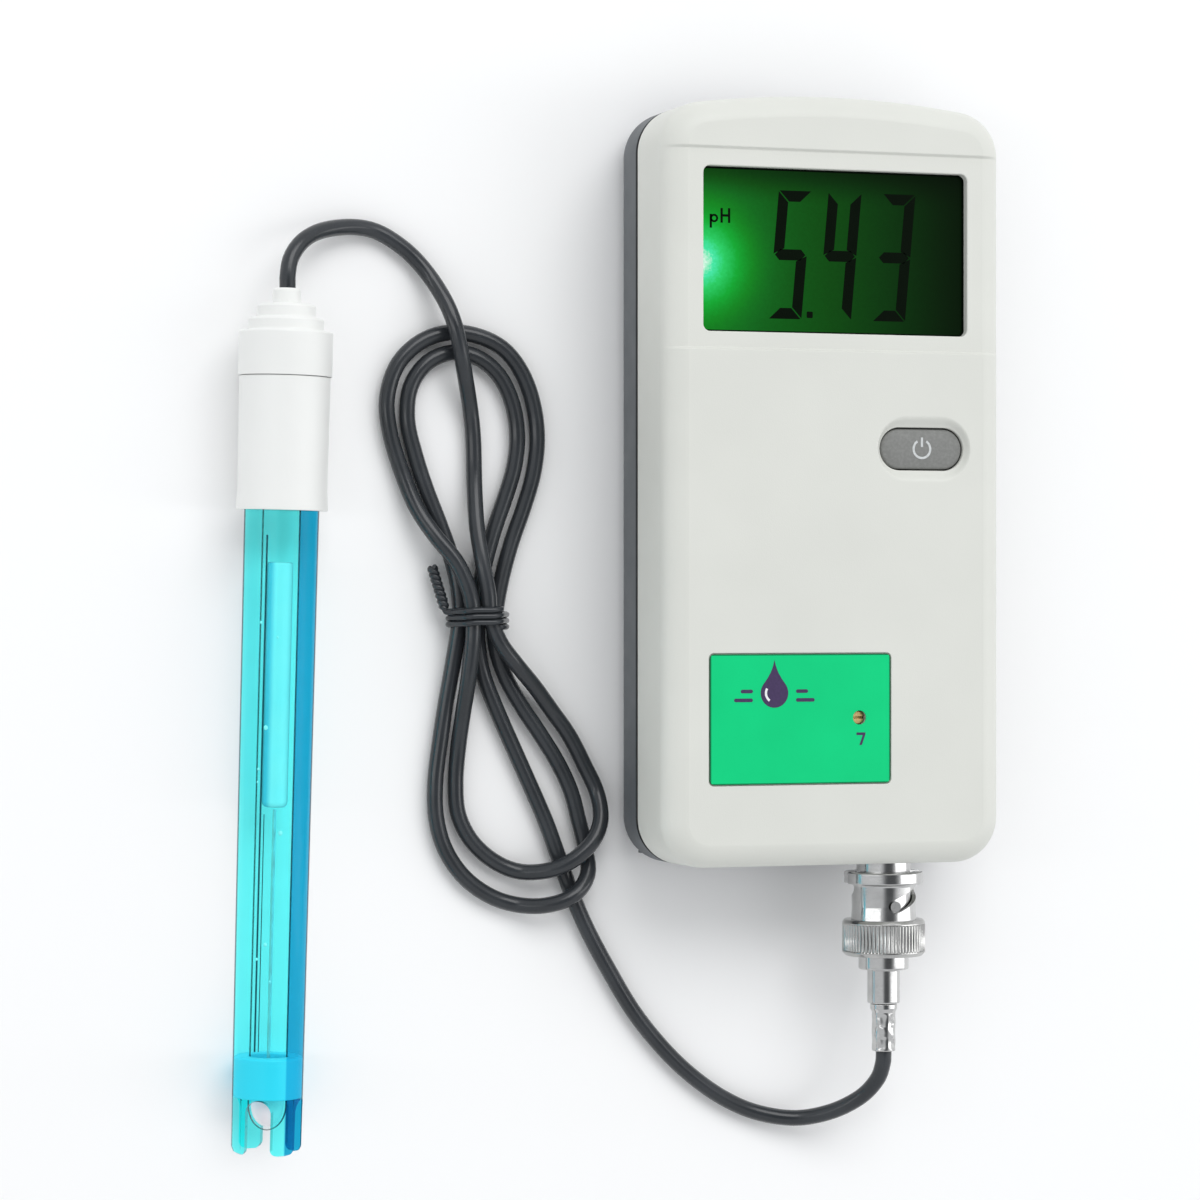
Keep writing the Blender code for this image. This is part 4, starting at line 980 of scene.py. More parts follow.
def make_front_shell():
    skin = Skin()
    seam = SEAM_Z + SEAM_HALF
    steps = 10
    shoulder = CASE_H - FRONT_R
    draft = 0.12
    first = skin.ring(case_ring(0.30), seam)
    levels = [(case_ring(offset), z) for offset, z in (
        (0.14, seam), (0.05, seam + 0.05), (0.0, seam + 0.15), (0.0, seam + 0.4),
        (draft, shoulder - 0.1))]
    last_turn = math.radians(CREASE_TURN)
    for k in range(steps + 1):
        turn = last_turn * k / steps
        offset = draft + (FRONT_R - draft) * (1.0 - math.cos(turn)) / (1.0 - math.cos(last_turn))
        share = (math.sin(turn) / math.sin(last_turn)) ** 2
        z = shoulder + FRONT_R * math.sin(turn) / math.sin(last_turn)
        levels.append((case_ring(offset), lambda x, y, z=z, s=share: z - s * band_drop(y)))
    levels += [(case_ring(FRONT_R + 0.1), front_height), (case_ring(FRONT_R + 0.5), front_height)]
    rim = skin.stack(first, levels)

    def opening(outline, lip, floor):
        """The rounded edge of a hole in the front, and its wall down to the floor."""

        def below_front(depth):
            return lambda x, y: front_height(x, y) - depth

        top = skin.ring(outline(lip + 0.4), front_height)
        steps_down = [(outline(lip + 0.05), front_height)]
        steps_down += [(outline(lip * (1.0 - over)), below_front(lip * down))
                       for down, over in quarter(3)]
        steps_down += [(outline(0.0), below_front(lip + 0.06)), (outline(0.0), floor)]
        return top, skin.stack(top, steps_down)

    inner_z = CASE_H - WALL
    display_top, display_low = opening(
        lambda g: rounded_rectangle(DISPLAY, DISPLAY_SIZE, 1.2, g), 0.22, inner_z)
    pocket_z = CASE_H - 0.5
    pocket_top, pocket_low = opening(
        lambda g: rounded_rectangle(LABEL, grown(LABEL_SIZE, 0.4), 0.9, g), 0.1, pocket_z)
    trimmer_hole = circle(TRIMMER, 1.35)
    trimmer_top = skin.ring(trimmer_hole, pocket_z)
    skin.fill(pocket_low, [trimmer_top])
    trimmer_low = skin.stack(trimmer_top, [(trimmer_hole, inner_z)])

    dish_top = skin.ring(pill(BUTTON, DISH_SIZE, 0.5), CASE_H)
    scoop = [(pill(BUTTON, DISH_SIZE, 0.06), CASE_H)]
    for share in (0.0, 0.08, 0.16, 0.28, 0.42, 0.56, 0.7, 0.82, 0.92, 1.0):
        ring = [(a[0] + (b[0] - a[0]) * share, a[1] + (b[1] - a[1]) * share)
                for a, b in zip(pill(BUTTON, DISH_SIZE), pill(BUTTON, grown(BUTTON_SIZE, 0.6)))]
        scoop.append((ring, CASE_H - DISH_DEPTH * ease(share * 0.86) / ease(0.86)))
    well = pill(BUTTON, grown(BUTTON_SIZE, 0.5))
    button_low = skin.stack(dish_top, scoop + [(well, CASE_H - DISH_DEPTH - 0.1), (well, inner_z)])

    count = len(HALF)
    total = 2 * count - 2
    ties = [(i, total - i) for i, (p, _) in enumerate(HALF)
            if any(abs(p[1] - edge) < 0.85 for edge in BAND_Y)]
    skin.fill(rim, [display_top, dish_top, pocket_top], ties)

    inner_r = FRONT_R - WALL
    inner = [(case_ring(WALL), seam)]
    inner += [(case_ring(WALL + inner_r * out), inner_z - inner_r + inner_r * up)
              for out, up in quarter(4)]
    inner_rim = skin.stack(first, inner)
    skin.fill(inner_rim, [display_low, button_low, trimmer_low])
    shell = skin.finish("front_case", WHITE_PLASTIC)
    carve(shell, [jack_way()])
    return keep(smooth(shell, 50.0), METER, ("front_shell",))


def back_form(name, closed_top):
    """The outer form of the back half; with closed_top it is solid, else it has a wall."""
    skin = Skin()
    seam = SEAM_Z - SEAM_HALF
    first = skin.ring(case_ring(0.7), seam)
    groove = [(case_ring(offset), seam - drop) for offset, drop in (
        (0.45, 0.0), (0.42, 0.04), (0.42, 0.46), (0.38, 0.5), (0.14, 0.5), (0.05, 0.55),
        (0.0, 0.65), (0.0, 0.9))]
    rounding = [(case_ring(BACK_R * out), BACK_R - BACK_R * down) for out, down in quarter(9)]
    flat = [(case_ring(BACK_R + more), 0.0) for more in (0.1, 0.5)]
    skin.fill(skin.stack(first, [*groove, (case_ring(0.0), BACK_R + 0.1), *rounding, *flat]))
    if closed_top:
        skin.fill(first)
        return skin.finish(name, DARK_PLASTIC)
    inner_r = BACK_R - WALL
    inner = [(case_ring(WALL + inner_r * out), BACK_R - inner_r * down) for out, down in quarter(4)]
    skin.fill(skin.stack(first, [(case_ring(WALL), seam), *inner]))
    return skin.finish(name, DARK_PLASTIC)


def make_back_shell():
    shell = back_form("back_case", False)
    roof_z = DOOR_Z + 1.3
    joined = [block("roof", (DOOR_X[0] + 0.5, DOOR_X[1] + 2.0), (CASE_LOW + 1.5, DOOR_TOP_Y + 2.0),
                    (1.5, roof_z)),
              block("room_wall", (0.0, 1.2), (CASE_LOW + 1.5, ROOM_Y[1] - 3.0), (2.0, 11.0))]
    joined += [bar("post", Vector((x, y, 1.0)), Vector((x, y, SEAM_Z - 0.2)), 3.0)
               for x, y in CASE_SCREWS]
    carve(shell, joined, "UNION")
    gap = 0.15
    cuts = [block("door_way", (DOOR_X[0] - gap, DOOR_X[1] + gap),
                  (CASE_LOW - 2.0, DOOR_TOP_Y + gap), (-1.0, DOOR_Z + gap)),
            block("battery_way", ROOM_X, ROOM_Y, (1.0, 8.0))]
    for x, y in CASE_SCREWS:
        cuts.append(bar("head_room", Vector((x, y, -1.0)), Vector((x, y, 3.2)), 2.6))
        cuts.append(bar("screw_way", Vector((x, y, -1.0)), Vector((x, y, SEAM_Z + 1.0)), 1.6))
    carve(shell, [*cuts, jack_way()])
    return keep(smooth(shell, 42.0), METER, ("back_shell",))


def make_battery_door():
    """The door is cut from the case's own form; its finger grip has rounded grooves."""
    door = back_form("battery_cover", True)
    carve(door, [block("limits", DOOR_X, (CASE_LOW - 2.0, DOOR_TOP_Y), (-1.0, DOOR_Z))],
          "INTERSECT")
    middle = -13.0
    grooves = [prism("groove", pill((middle, -19.5 + 2.4 * number), (14.0, 1.1), count=10),
                     (-1.0, 0.45)) for number in range(4)]
    tip, neck, tail, half, stalk = -32.0, -28.0, -25.5, 3.4, 1.1
    arrow = [(middle + x, y) for x, y in (
        (0.0, tip), (half, neck), (stalk, neck), (stalk, tail), (-stalk, tail), (-stalk, neck),
        (-half, neck))]
    grooves.append(prism("arrow", arrow, (-1.0, 0.25)))
    carve(door, grooves)
    return keep(smooth(door, 42.0), "battery_door", ("battery_door",))


# ---- display
STROKE = 1.86
DIGIT_SIZE = (6.05, 21.9)
LEAN = 0.09
SEGMENT_GAP = 0.16
SEGMENTS = {"3": "abcdg", "4": "bcfg", "5": "acdfg"}


def segment_outline(which, w, h):
    """One mitred stroke of a seven segment digit, its corner at the origin."""
    s, g = STROKE, SEGMENT_GAP
    mid = h / 2.0
    upright = [(0.0, mid + g), (0.0, h - g), (s, h - s - g), (s, mid + s / 2 + g)]
    shapes = {
        "a": [(g, h), (w - g, h), (w - s - g, h - s), (s + g, h - s)],
        "g": [(g + 0.1, mid), (s * 0.6, mid + s / 2), (w - s * 0.6, mid + s / 2),
              (w - g - 0.1, mid), (w - s * 0.6, mid - s / 2), (s * 0.6, mid - s / 2)],
        "f": upright,
    }
    shapes["d"] = [(x, h - y) for x, y in shapes["a"]]
    shapes["e"] = [(x, h - y) for x, y in upright]
    shapes["b"] = [(w - x, y) for x, y in upright]
    shapes["c"] = [(w - x, h - y) for x, y in upright]
    return shapes[which]


def make_display():
    """The lit face in its opening, and the digits and unit mark on it."""
    face_z = CASE_H - 2.3
    bevel = 0.12
    skin = Skin()
    plain, shrunk = (rounded_rectangle(DISPLAY, (52.0, 32.0), 0.5, grow) for grow in (0.0, -bevel))
    first = skin.ring(plain, face_z - 2.2)
    top = skin.stack(first, [(plain, face_z - bevel), (shrunk, face_z)])
    skin.fill(first)
    skin.fill(top)
    keep(skin.finish("display_face", DISPLAY_FACE), METER, ("lcd_glass",))

    border = [rounded_rectangle(DISPLAY, DISPLAY_SIZE, 1.2, grow) for grow in (0.5, -0.34)]
    flat_marks("display_border", SEGMENT_INK, METER, (face_z - 0.02, face_z + 0.08),
               rings=[border])

    ink = (face_z - 0.02, face_z + 0.05)
    w, h = DIGIT_SIZE
    base_y = DISPLAY[1] - 0.6 - h / 2.0
    middle = base_y + h / 2.0

    def lean(x, y):
        return (x + LEAN * (y - middle), y)

    strokes = [[lean(left + x, base_y + y) for x, y in segment_outline(which, w, h)]
               for digit, left in (("5", -10.9), ("4", -1.8), ("3", 8.2))
               for which in SEGMENTS[digit]]
    point = rounded_rectangle((-4.3, 28.35), (1.1, 1.1), 0.2, count=3)
    flat_marks("display_digits", SEGMENT_INK, METER, ink, strokes + [point])

    x, y = -22.8, 42.7
    bowl = [circle((x + 1.15, y + 1.65), r, 10) for r in (0.74, 0.38)]
    letters = [rectangle((x + left, x + right), (y + low, y + high))
               for left, right, low, high in ((0.35, 0.75, 0.0, 2.35), (2.3, 2.7, 0.9, 3.4),
                                              (3.65, 4.05, 0.9, 3.4), (2.7, 3.65, 1.95, 2.35))]
    flat_marks("display_unit_mark", SEGMENT_INK, METER, ink, letters, [bowl])


# ---- button and label
def make_button():
    low_z, seat_z, top_z = CASE_H - 5.8, CASE_H - 4.4, CASE_H - 1.0
    edge_r = 0.55
    edge_z = top_z - 0.85
    flange = grown(BUTTON_SIZE, 2.6)
    skin = Skin()
    stem = skin.ring(circle(BUTTON, 1.7, 50), low_z)
    body_low = skin.ring(pill(BUTTON, flange), seat_z + 0.8)
    skin.fill(stem)
    stem_top = skin.stack(stem, [(circle(BUTTON, 1.7, 50), seat_z)])
    under = skin.ring(pill(BUTTON, flange), seat_z)
    skin.fill(under, [stem_top])
    skin.strip(under, body_low)

    def level(grow, z):
        return pill(BUTTON, BUTTON_SIZE, grow), z

    levels = [(pill(BUTTON, flange, -0.2), seat_z + 1.0), level(0.15, seat_z + 1.0),
              level(0.0, seat_z + 1.15), level(0.0, edge_z)]
    levels += [level(-edge_r * out, edge_z + edge_r * up) for out, up in quarter(6, 1)]
    levels += [level(-edge_r - 2.2 * share, top_z - 0.3 + 0.3 * (1.0 - (1.0 - share) ** 2))
               for share in (0.2, 0.4, 0.6, 0.8, 1.0)]
    skin.fill(skin.stack(body_low, levels))
    button = skin.finish("power_button_cap", BUTTON_RUBBER)
    keep(smooth(button, 40.0), "power_button", ("power_button",))

    cx, cy = BUTTON
    ring_out, ring_in = (arc(cx, cy, r, 122.0, 418.0, 30) for r in (1.75, 1.35))
    dash = rectangle((cx - 0.2, cx + 0.2), (cy + 0.35, cy + 2.0))
    flat_marks("power_symbol", BUTTON_MARK, "power_button", (top_z - 0.2, top_z + 0.03),
               [ring_out + ring_in[::-1], dash])


def make_label():
    low_z, high_z = CASE_H - 0.25, CASE_H + 0.04
    bevel = 0.05
    skin = Skin()
    rim, rim_top = (rounded_rectangle(LABEL, LABEL_SIZE, 0.8, grow) for grow in (0.0, -bevel))
    hole, hole_top = (circle(TRIMMER, 1.2 + grow, 40) for grow in (0.0, bevel))
    low, low_hole = skin.ring(rim, low_z), skin.ring(hole, low_z)
    skin.fill(low, [low_hole])
    top = skin.stack(low, [(rim, high_z - bevel), (rim_top, high_z)])
    top_hole = skin.stack(low_hole, [(hole, high_z - bevel), (hole_top, high_z)])
    skin.fill(top, [top_hole])
    keep(skin.finish("label_film", LABEL_FILM), METER, ("front_label",))

    drop_x, drop_y = -11.6, -36.2
    drop = arc(drop_x, drop_y, 2.5, -215.0, 35.0, 28)
    tip = Vector((drop_x, drop_y + 5.6))

    def flank(foot, shares, bow):
        """Points up one side of the drop from its round part to its tip."""
        return [(foot[0] + (tip.x - foot[0]) * share + bow * math.sin(math.pi * share),
                 foot[1] + (tip.y - foot[1]) * share) for share in shares]

    drop += (flank(drop[-1], (0.25, 0.5, 0.75, 1.0), -0.35)
             + flank(drop[0], (0.75, 0.5, 0.25), 0.35))
    dashes = [rounded_rectangle((drop_x + side * (3.9 + wide / 2.0), drop_y - 1.2 + row * 1.5),
                                (wide, 0.62), 0.3, count=4)
              for row, wide in enumerate((3.4, 2.2)) for side in (-1, 1)]
    seven = [(3.35, -43.05), (5.0, -43.05), (5.0, -43.4), (4.35, -45.2), (3.9, -45.2),
             (4.5, -43.5), (3.35, -43.5)]
    ink_z = high_z + 0.02
    flat_marks("label_print", LABEL_INK, METER, (high_z - 0.02, ink_z),
               [drop, *dashes, seven])
    glint_out, glint_in = (arc(drop_x, drop_y, r, 150.0, 235.0, 10) for r in (1.75, 1.35))
    flat_marks("label_print_glint", LABEL_WHITE, METER, (ink_z - 0.01, ink_z + 0.01),
               [glint_out + glint_in[::-1]])


def make_trimmer():
    x, y = TRIMMER
    place = Matrix.Translation((x, y, 0.0))
    low_z, top_z = 22.2, 26.2
    head = lathe("trimmer_screw_head", [(0.0, low_z), (1.1, low_z), (1.1, top_z), (0.0, top_z)],
                 place, BRASS, steps=48, radius=0.12)
    carve(head, [block("slot", (x - 1.3, x + 1.3), (y - 0.22, y + 0.22),
                       (top_z - 0.7, top_z + 1.0))])
    keep(smooth(head, 35.0), "trimmer", ("trimmer_screw",))


# ---- socket and plug
def on_barrel(angle, v, r):
    """A point at an angle from the top toward +X, v below the case, r from the socket's axis."""
    return Vector((JACK_X + r * math.sin(angle), CASE_LOW - v, JACK_Z + r * math.cos(angle)))


def make_socket():
    profile = [(4.75, 12.3, 0.25), (4.75, -2.45, 0.15), (6.6, -2.45, 0.2), (6.6, -4.0, 0.2),
               (4.4, -4.0, 0.1), (4.4, -11.0, 0.2), (2.75, -11.0, 0.1), (2.75, 5.0, 0.1),
               (4.1, 5.0, 0.1), (4.1, 12.3, 0.1)]
    body = lathe("socket_body", profile, JACK_PLACE, NICKEL, closed=True, radius=0.2)
    carve(body, [bar("stud", on_barrel(side, STUD_V, 4.4), on_barrel(side, STUD_V, 5.6), 0.95, 28)
                 for side in (0.0, math.pi)], "UNION")
    keep(smooth(body, 38.0), METER, ("jack_body",))


def make_coupling_nut():
    """The barrel with its two bayonet slots, and the knurled band behind it, as one piece."""
    barrel_profile = [(4.98, 10.5, 0.05), (5.72, 10.5, 0.05), (5.55, 8.0, 2.0), (5.75, 4.0, 0.5),
                      (6.9, 4.0, 0.25), (6.9, 1.9, 0.25), (4.98, 1.9, 0.15)]
    barrel = lathe("bayonet_nut", barrel_profile, JACK_PLACE, NICKEL, closed=True, steps=128,
                   radius=0.15)
    turn = math.radians(CAM_TURN)
    cuts = []
    for side in (0.0, math.pi):
        cam = [(side + turn * i / 24, STUD_V - CAM_RISE * i / 24) for i in range(25)]
        entry = [(side + turn, v) for v in (STUD_V - CAM_RISE, 3.0, 1.5, 0.2)]
        cuts += [slot_cutter(cam, 6.3), slot_cutter(entry, 8.5)]
    carve(barrel, cuts)

    knurls = 72
    band_low, band_high = 11.0, 15.8

    def ridges(angle, r, z):
        if not band_low < z < band_high or r < 7.0:
            return r
        return r - 0.2 * abs(math.sin(angle * knurls / 2.0)) ** 0.7

    band_profile = [(4.98, 10.3, 0.05), (5.9, 10.6, 0.05), (5.9, 15.8, 0.1), (4.75, 15.8, 0.1),
                    (4.75, 16.6, 0.1), (6.7, 16.6, 0.15), (7.25, 16.0, 0.12), (7.25, 10.8, 0.15),
                    (6.9, 10.3, 0.15)]
    points = []
    rounded = filleted(band_profile, 0.1, closed=True)
    for a, b in pairs(rounded):
        points.append(a)
        if min(a.x, b.x) > 7.2 and a.y - b.y > 3.0:
            points += [Vector((a.x, y)) for y in (band_high + 0.02, band_high - 0.14,
                                                  band_low + 0.14, band_low - 0.02)]
    bm = bmesh.new()
    lathe_bmesh(bm, points, JACK_PLACE, True, knurls * 6, ridges)
    bmesh.ops.recalc_face_normals(bm, faces=bm.faces)
    for face in bm.faces:
        face.material_index = 1
    bmesh.ops.scale(bm, vec=(MM, MM, MM), verts=bm.verts)
    bm.from_mesh(barrel.data)
    bm.to_mesh(barrel.data)
    bm.free()
    barrel.data.materials.append(NICKEL_KNURL)
    return keep(smooth(barrel, 32.0), "coupling_nut", ("coupling_nut",))


def slot_cutter(spots, reach_out):
    """A round-ended slot through the barrel along the given (angle, v) spots."""
    half = 1.22
    reach = 5.3
    flat = [Vector((angle * reach, v)) for angle, v in spots]
    sides = ([], [])
    for i, spot in enumerate(flat):
        run = (flat[min(i + 1, len(flat) - 1)] - flat[max(i - 1, 0)]).normalized()
        across = Vector((-run.y, run.x)) * half
        sides[0].append(spot + across)
        sides[1].append(spot - across)

    def cap(spot, edge):
        """Half a circle from one side of the strip round its end to the other."""
        out = edge - spot
        return [spot + Matrix.Rotation(math.pi * k / 10, 2) @ out for k in range(1, 10)]

    outline = (sides[0] + cap(flat[-1], sides[1][-1])[::-1]
               + sides[1][::-1] + cap(flat[0], sides[0][0])[::-1])
    bm = bmesh.new()
    outer, inner = ([bm.verts.new(on_barrel(p.x / reach, p.y, r)) for p in outline]
                    for r in (reach_out, 4.3))
    band(bm, outer, inner)
    total = len(outline)
    edges = [(i, (i + 1) % total) for i in range(total)]
    _, _, faces, _, _, _ = delaunay_2d_cdt(outline, edges, [], 1, 1e-6)
    for loop in (outer, inner):
        for face in faces:
            bm.faces.new([loop[i] for i in face])
    return mesh_object("bayonet_slot", bm)


def make_plug():
    profile = [(2.85, 25.0, 0.25), (2.85, 19.05, 0.2), (4.4, 19.05, 0.35), (4.4, 14.7, 0.2),
               (5.4, 14.7, 0.15), (5.4, 13.9, 0.15), (3.85, 13.9, 0.1), (3.85, 5.6, 0.1),
               (3.2, 5.6, 0.1), (3.2, 17.8, 0.1), (1.2, 17.8, 0.1), (1.2, 25.0, 0.15)]
    plug = turned("plug_shell", profile, JACK_PLACE, NICKEL, PROBE, "nickel", ("plug_body",), 38.0,
                  closed=True, radius=0.15)
    base = filleted([(1.42, 33.4, 0.08), (2.05, 33.4, 0.2), (2.05, 26.6, 0.2), (2.35, 26.0, 0.3),
                     (2.35, 25.1, 0.15), (1.42, 25.1, 0.05)], 0.1, closed=True)
    rows = []
    for a, b in pairs(base):
        rows.append(a)
        if a.x > 2.0 and b.x > 2.0 and abs(a.y - b.y) > 4.0:
            rows += [a.lerp(b, i / 26) for i in range(1, 26)]

    def dents(angle, r, z):
        if r < 1.9 or z > 33.0 or z < 27.0:
            return r
        flat = 0.5 + 0.5 * math.cos(6.0 * angle + 0.4)
        band = ease((math.sin((z - 27.0) * math.pi / 2.0) + 0.25) / 0.6)
        return r - 0.16 * flat * band - 0.04 * math.sin(3.0 * angle + z * 1.9)

    ferrule = turned("crimped_sleeve", rows, JACK_PLACE, NICKEL, PROBE, "nickel",
                     ("crimp_ferrule",), 45.0, closed=True, steps=72, wave=dents)
    return plug, ferrule


# ---- electrode
def let_light_through(obj):
    """Thin clear walls cast no shadow, so the light reaches what stands behind them."""
    obj.visible_shadow = False
    obj.visible_diffuse = False


def notch(degrees):
    """The tool that cuts two facing gaps between the prongs of the guard."""
    flare, deep, out = 1.3, 9.4, 9.0
    half = PRONG_GAP / 2.0
    outline = [(-half - flare, -2.0), (half + flare, -2.0)]
    outline += arc(half + flare, flare, flare, -90.0, -180.0, 8)
    outline += arc(0.0, deep - half, half, 0.0, 180.0, 20)
    outline += arc(-half - flare, flare, flare, 0.0, -90.0, 8)
    turn = ELECTRODE_PLACE @ Matrix.Rotation(math.radians(degrees), 4, "Z")
    bm = bmesh.new()
    front, back = ([bm.verts.new(turn @ Vector((x, y, z))) for x, z in outline]
                   for y in (out, -out))
    bm.faces.new(front)
    bm.faces.new(back[::-1])
    band(bm, front, back)
    return mesh_object("notch", bm)


def make_electrode():
    top = [(0.0, 145.4), (2.0, 145.4, 0.15), (2.35, 145.0, 0.2), (2.35, 142.7, 0.3),
           (4.6, 142.7, 0.35), (4.95, 142.3, 0.3), (4.95, 140.4, 0.35), (6.0, 140.4, 0.35),
           (6.35, 140.0, 0.3), (6.35, 138.2, 0.35), (7.6, 138.2, 0.4), (7.9, 137.9, 0.4),
           (7.9, 130.6, 0.12), (6.3, 130.6, 0.1), (6.3, 124.0, 0.2), (0.0, 124.0)]
    turned("electrode_cap", top, ELECTRODE_PLACE, CAP_PLASTIC, PROBE, "cap_white", ("cap_top",),
           50.0, radius=0.3)

    sleeve = [(7.66, 130.5, 0.08), (7.6, 120.0), (7.55, 111.5, 1.0), (7.72, 108.9, 0.5),
              (7.72, 108.1, 0.15), (6.62, 108.1, 0.1), (6.62, 130.5, 0.1)]
    turned("cap_collar", sleeve, ELECTRODE_PLACE, CAP_PLASTIC, PROBE, "cap_white",
           ("cap_sleeve",), closed=True, radius=0.1)

    tube = [(6.3, 122.0, 0.1), (6.3, 108.0), (6.24, 90.0), (6.18, 70.0), (6.1, 45.0), (6.02, 25.0),
            (5.95, 10.0), (5.9, 1.2, 0.4), (5.6, 0.4, 0.3), (4.9, 0.0, 0.3), (4.5, 0.6, 0.3),
            (4.5, 9.0, 0.15), (5.0, 9.4, 0.1), (5.04, 25.0), (5.08, 45.0), (5.13, 70.0),
            (5.17, 90.0), (5.2, 108.0), (5.2, 122.0, 0.1)]
    body = lathe("electrode_body_tube", tube, ELECTRODE_PLACE, TUBE_CLEAR, closed=True, radius=0.1)
    carve(body, [notch(PRONG_TURN), notch(PRONG_TURN + 90.0)])
    body.data.materials.append(WALL_CLEAR)
    for face in body.data.polygons:
        spot = ELECTRODE_PLACE.inverted() @ (face.center / MM)
        if 9.6 < spot.z < 121.8 and math.hypot(spot.x, spot.y) < 5.4:
            face.material_index = 1
    let_light_through(body)
    keep(smooth(body, 35.0), PROBE, ("electrode_tube",))

    seal = [(3.35, 9.5, 0.1), (5.75, 9.5, 0.2), (5.75, 16.4, 0.4), (3.35, 16.4, 0.2)]
    turned("tip_seal", seal, ELECTRODE_PLACE, SEAL_CYAN, PROBE, "tube_blue", ("tip_plug",),
           closed=True, steps=72, radius=0.2)

    outer_r, inner_r = 3.25, 2.7
    outside = [(0.0, 118.0)] + [(outer_r, z) for z in (118.0, 90.0, 60.0, 30.0, 9.6)]
    outside += bulb_curve(outer_r, 3.8)
    let_light_through(turned("sensing_stem", outside, ELECTRODE_PLACE, STEM_CLEAR, PROBE,
                             "stem_glass", ("glass_stem",), 60.0, steps=64))

    milk = [(0.0, 4.5)] + [(r * 0.985, z) for r, z in reversed(bulb_curve(inner_r, 4.45))][1:]
    milk += [(2.6, 9.5), (2.6, 11.5), (2.3, 12.4), (1.4, 13.0), (0.0, 13.2)]
    turned("bulb_coating", milk, ELECTRODE_PLACE, MILKY, PROBE, "stem_glass", degrees=60.0,
           steps=48)

    element = [(0.0, 58.2), (2.15, 58.2, 1.3), (2.15, 99.4, 0.4), (0.0, 99.4)]
    turned("inner_element", element, ELECTRODE_PLACE, ELEMENT_GEL, PROBE, "element_blue",
           ("reference_element",), 50.0, steps=48, radius=0.4)

    # Two thin dark rods inside the stem: painted shade lines that stand for the dark edge lines the
    # glass walls show.
    leftward = Vector((-1.0, 0.0, -SLANT)).normalized()
    bm = bmesh.new()
    for out, r, high in ((2.33, 0.16, 104.0), (1.72, 0.08, 57.0)):
        line = filleted([(0.0, 17.0), (r, 17.0), (r, high), (0.0, high)], r / 2.0, False)
        lathe_bmesh(bm, line, Matrix.Translation(leftward * out) @ ELECTRODE_PLACE, steps=16)
    keep(smooth(mesh_object("painted_shade_rods", bm, PAINTED_SHADE_LINES), 60.0), PROBE)

    spread = random.Random(7)
    bm = bmesh.new()
    bubbles, out = 9, 4.35
    for _ in range(bubbles):
        angle = spread.uniform(0.5, 2.4)
        u = spread.uniform(24.0, 100.0)
        r = spread.uniform(0.16, 0.36)
        spot = ELECTRODE_PLACE @ Vector((out * math.cos(angle), out * math.sin(angle), u))
        shape = Matrix.Translation(spot) @ Matrix.Diagonal((r, r * 1.2, r, 1.0))
        bmesh.ops.create_icosphere(bm, subdivisions=3, radius=1.0, matrix=shape)
    keep(smooth(mesh_object("tube_bubbles", bm, BUBBLE_CLEAR), 60.0), PROBE)


def bulb_curve(r, low):
    """The rounded end of the stem from its side down to its lowest point."""
    swell = 0.42
    high = 9.6
    points = []
    for k in range(1, 17):
        t = k / 16.0
        turn = math.pi / 2 * t
        reach = r * math.cos(turn) + swell * math.sin(2.0 * turn) * (1.0 - 0.4 * t)
        points.append((max(reach, 0.0) if k < 16 else 0.0, high - (high - low) * math.sin(turn)))
    return points


# ---- stage and light
def floor_paint():
    m = Finish("floor_paint", 0.85, specular=0.2)
    tone = m.noise(180.0)
    m.colour(m.blend(tone, (0.95, 0.95, 0.95), (0.97, 0.97, 0.97)))
    return m.material


def make_stage():
    half_width, drop = 3000.0, 0.15
    bm = bmesh.new()
    bmesh.ops.create_grid(bm, x_segments=1, y_segments=1, size=half_width)
    bmesh.ops.translate(bm, vec=(0.0, 0.0, -drop), verts=bm.verts)
    floor = mesh_object("floor", bm, floor_paint())

    world = bpy.data.worlds.new("studio")
    sky = Nodes(world)
    way = sky.add("ShaderNodeSeparateXYZ")
    sky.put(way.inputs[0], sky.add("ShaderNodeTexCoord").outputs["Generated"])
    around = sky.blend(sky.span(way.outputs["X"], -0.5, 0.2, smooth=True),
                       (0.72, 0.735, 0.75), (0.78, 0.79, 0.805))
    height = sky.span(way.outputs["Z"], 0.86, 0.985, smooth=True)
    sky.put(sky.tree.nodes["Background"].inputs["Color"],
            sky.blend(height, around, (0.10, 0.105, 0.11)))
    bpy.context.scene.world = world


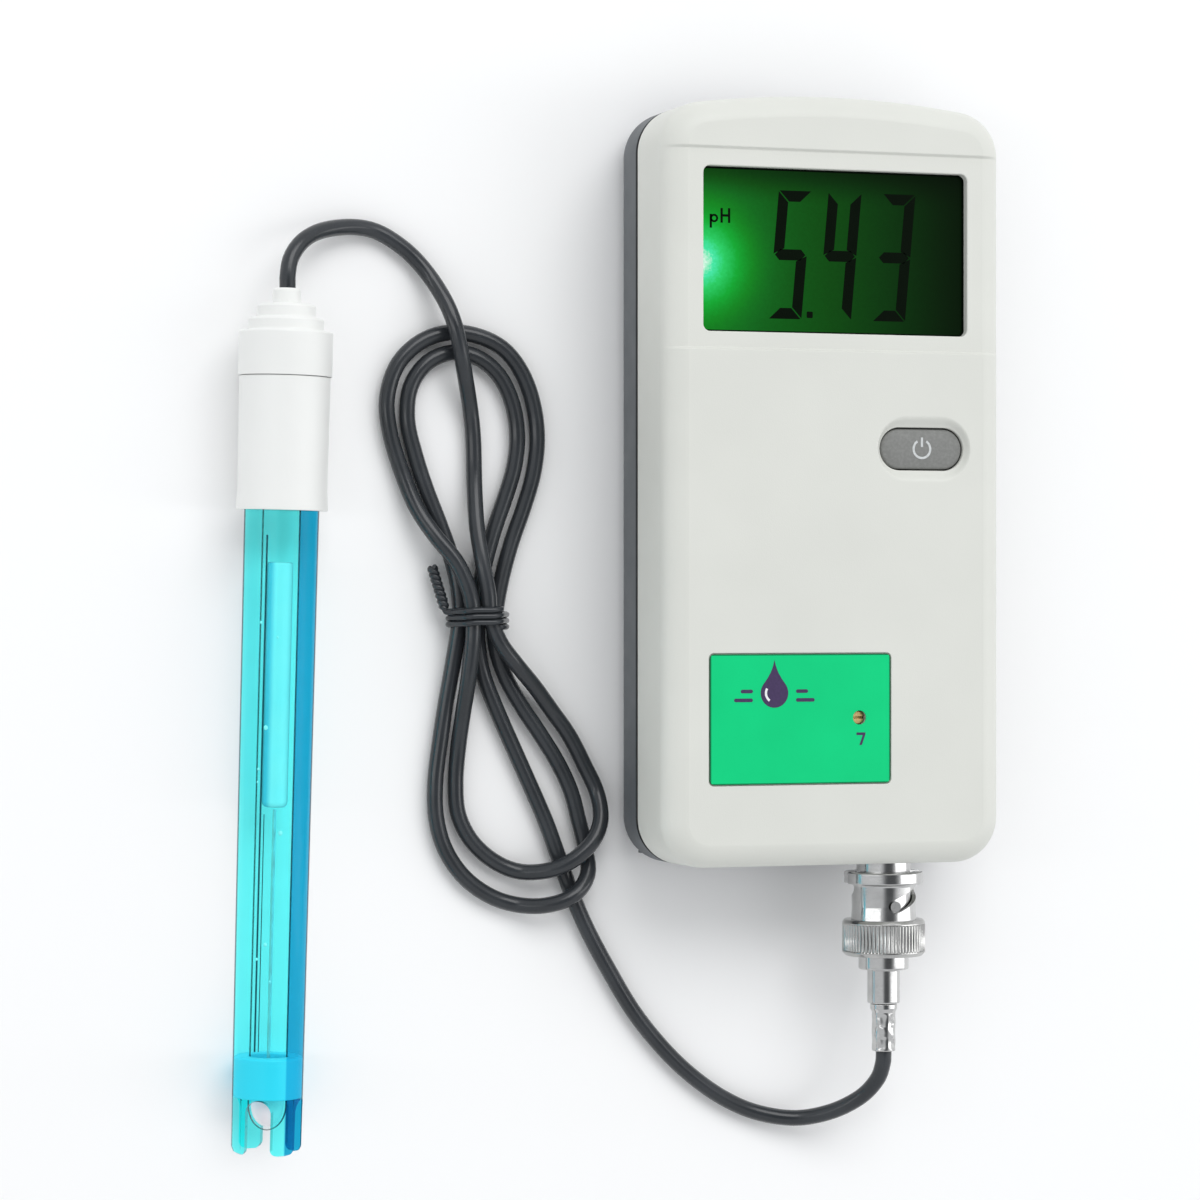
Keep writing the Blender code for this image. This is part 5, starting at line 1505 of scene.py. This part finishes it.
def softbox(name, place, aim, size, power):
    """A rectangular lamp of so many watts; place, aim and size are in metres."""
    light = bpy.data.lights.new(name, "AREA")
    light.shape = "RECTANGLE"
    light.size, light.size_y = size
    light.energy = power
    obj = linked(name, light)
    obj.location = place
    obj.rotation_euler = (Vector(aim) - Vector(place)).to_track_quat("-Z", "Y").to_euler()


def make_lights():
    softbox("top_box", (0.15, 0.95, 1.25), (0.0, 0.0, 0.0), (1.3, 0.9), 10.6)
    softbox("right_strip", (0.95, -0.1, 0.6), (0.0, 0.0, 0.01), (0.25, 1.2), 2.0)
    softbox("left_strip", (-0.8, 0.0, 0.35), (-0.05, 0.0, 0.01), (0.1, 1.2), 0.8)


# ---- carried-over nodes
def paint_nodes():
    """The CAD nodes whose shape stays get their finish here."""
    finishes = {
        "case_light": WHITE_PLASTIC, "case_dark": DARK_PLASTIC, "button": BUTTON_RUBBER,
        "label": LABEL_FILM, "display": DISPLAY_FACE, "nickel": NICKEL, "brass": BRASS,
        "steel": STEEL, "silver": SILVER, "red_wire": RED_PVC, "black_wire": BLACK_PVC,
        "cable": CABLE_PVC, "cap_white": CAP_PLASTIC, "tube_blue": TUBE_CLEAR,
        "element_blue": ELEMENT_GEL, "stem_glass": STEM_CLEAR,
        "board": circuit_board(),
        "battery": battery_wrap(),
        "light_guide": moulded("light_guide_plastic", (0.75, 0.8, 0.82), 0.25, 0.5, 0.004),
        "elastomer": rubbery("contact_elastomer", (0.12, 0.12, 0.13), 0.55),
        "chip": moulded("chip_epoxy", (0.022, 0.023, 0.025), 0.5, 0.12, 0.01),
        "capacitor": moulded("capacitor_sleeve", (0.03, 0.06, 0.22), 0.32, 0.4, 0.004),
        "white_insulator": moulded("insulator_plastic", (0.85, 0.86, 0.84), 0.4, 0.3, 0.006),
        "seal": rubbery("sealing_ring", (0.62, 0.3, 0.22)),
    }
    for obj in NODES.values():
        obj.data.materials[0] = finishes[obj.data.materials[0].name]


# ---- the object
paint_nodes()
cable = make_cable()
tie = make_tie()
make_front_shell()
make_back_shell()
make_battery_door()
make_display()
make_button()
make_label()
make_trimmer()
make_socket()
nut = make_coupling_nut()
plug, ferrule = make_plug()
make_electrode()
bpy.context.scene.view_settings.view_transform = "Standard"
make_stage()
make_lights()
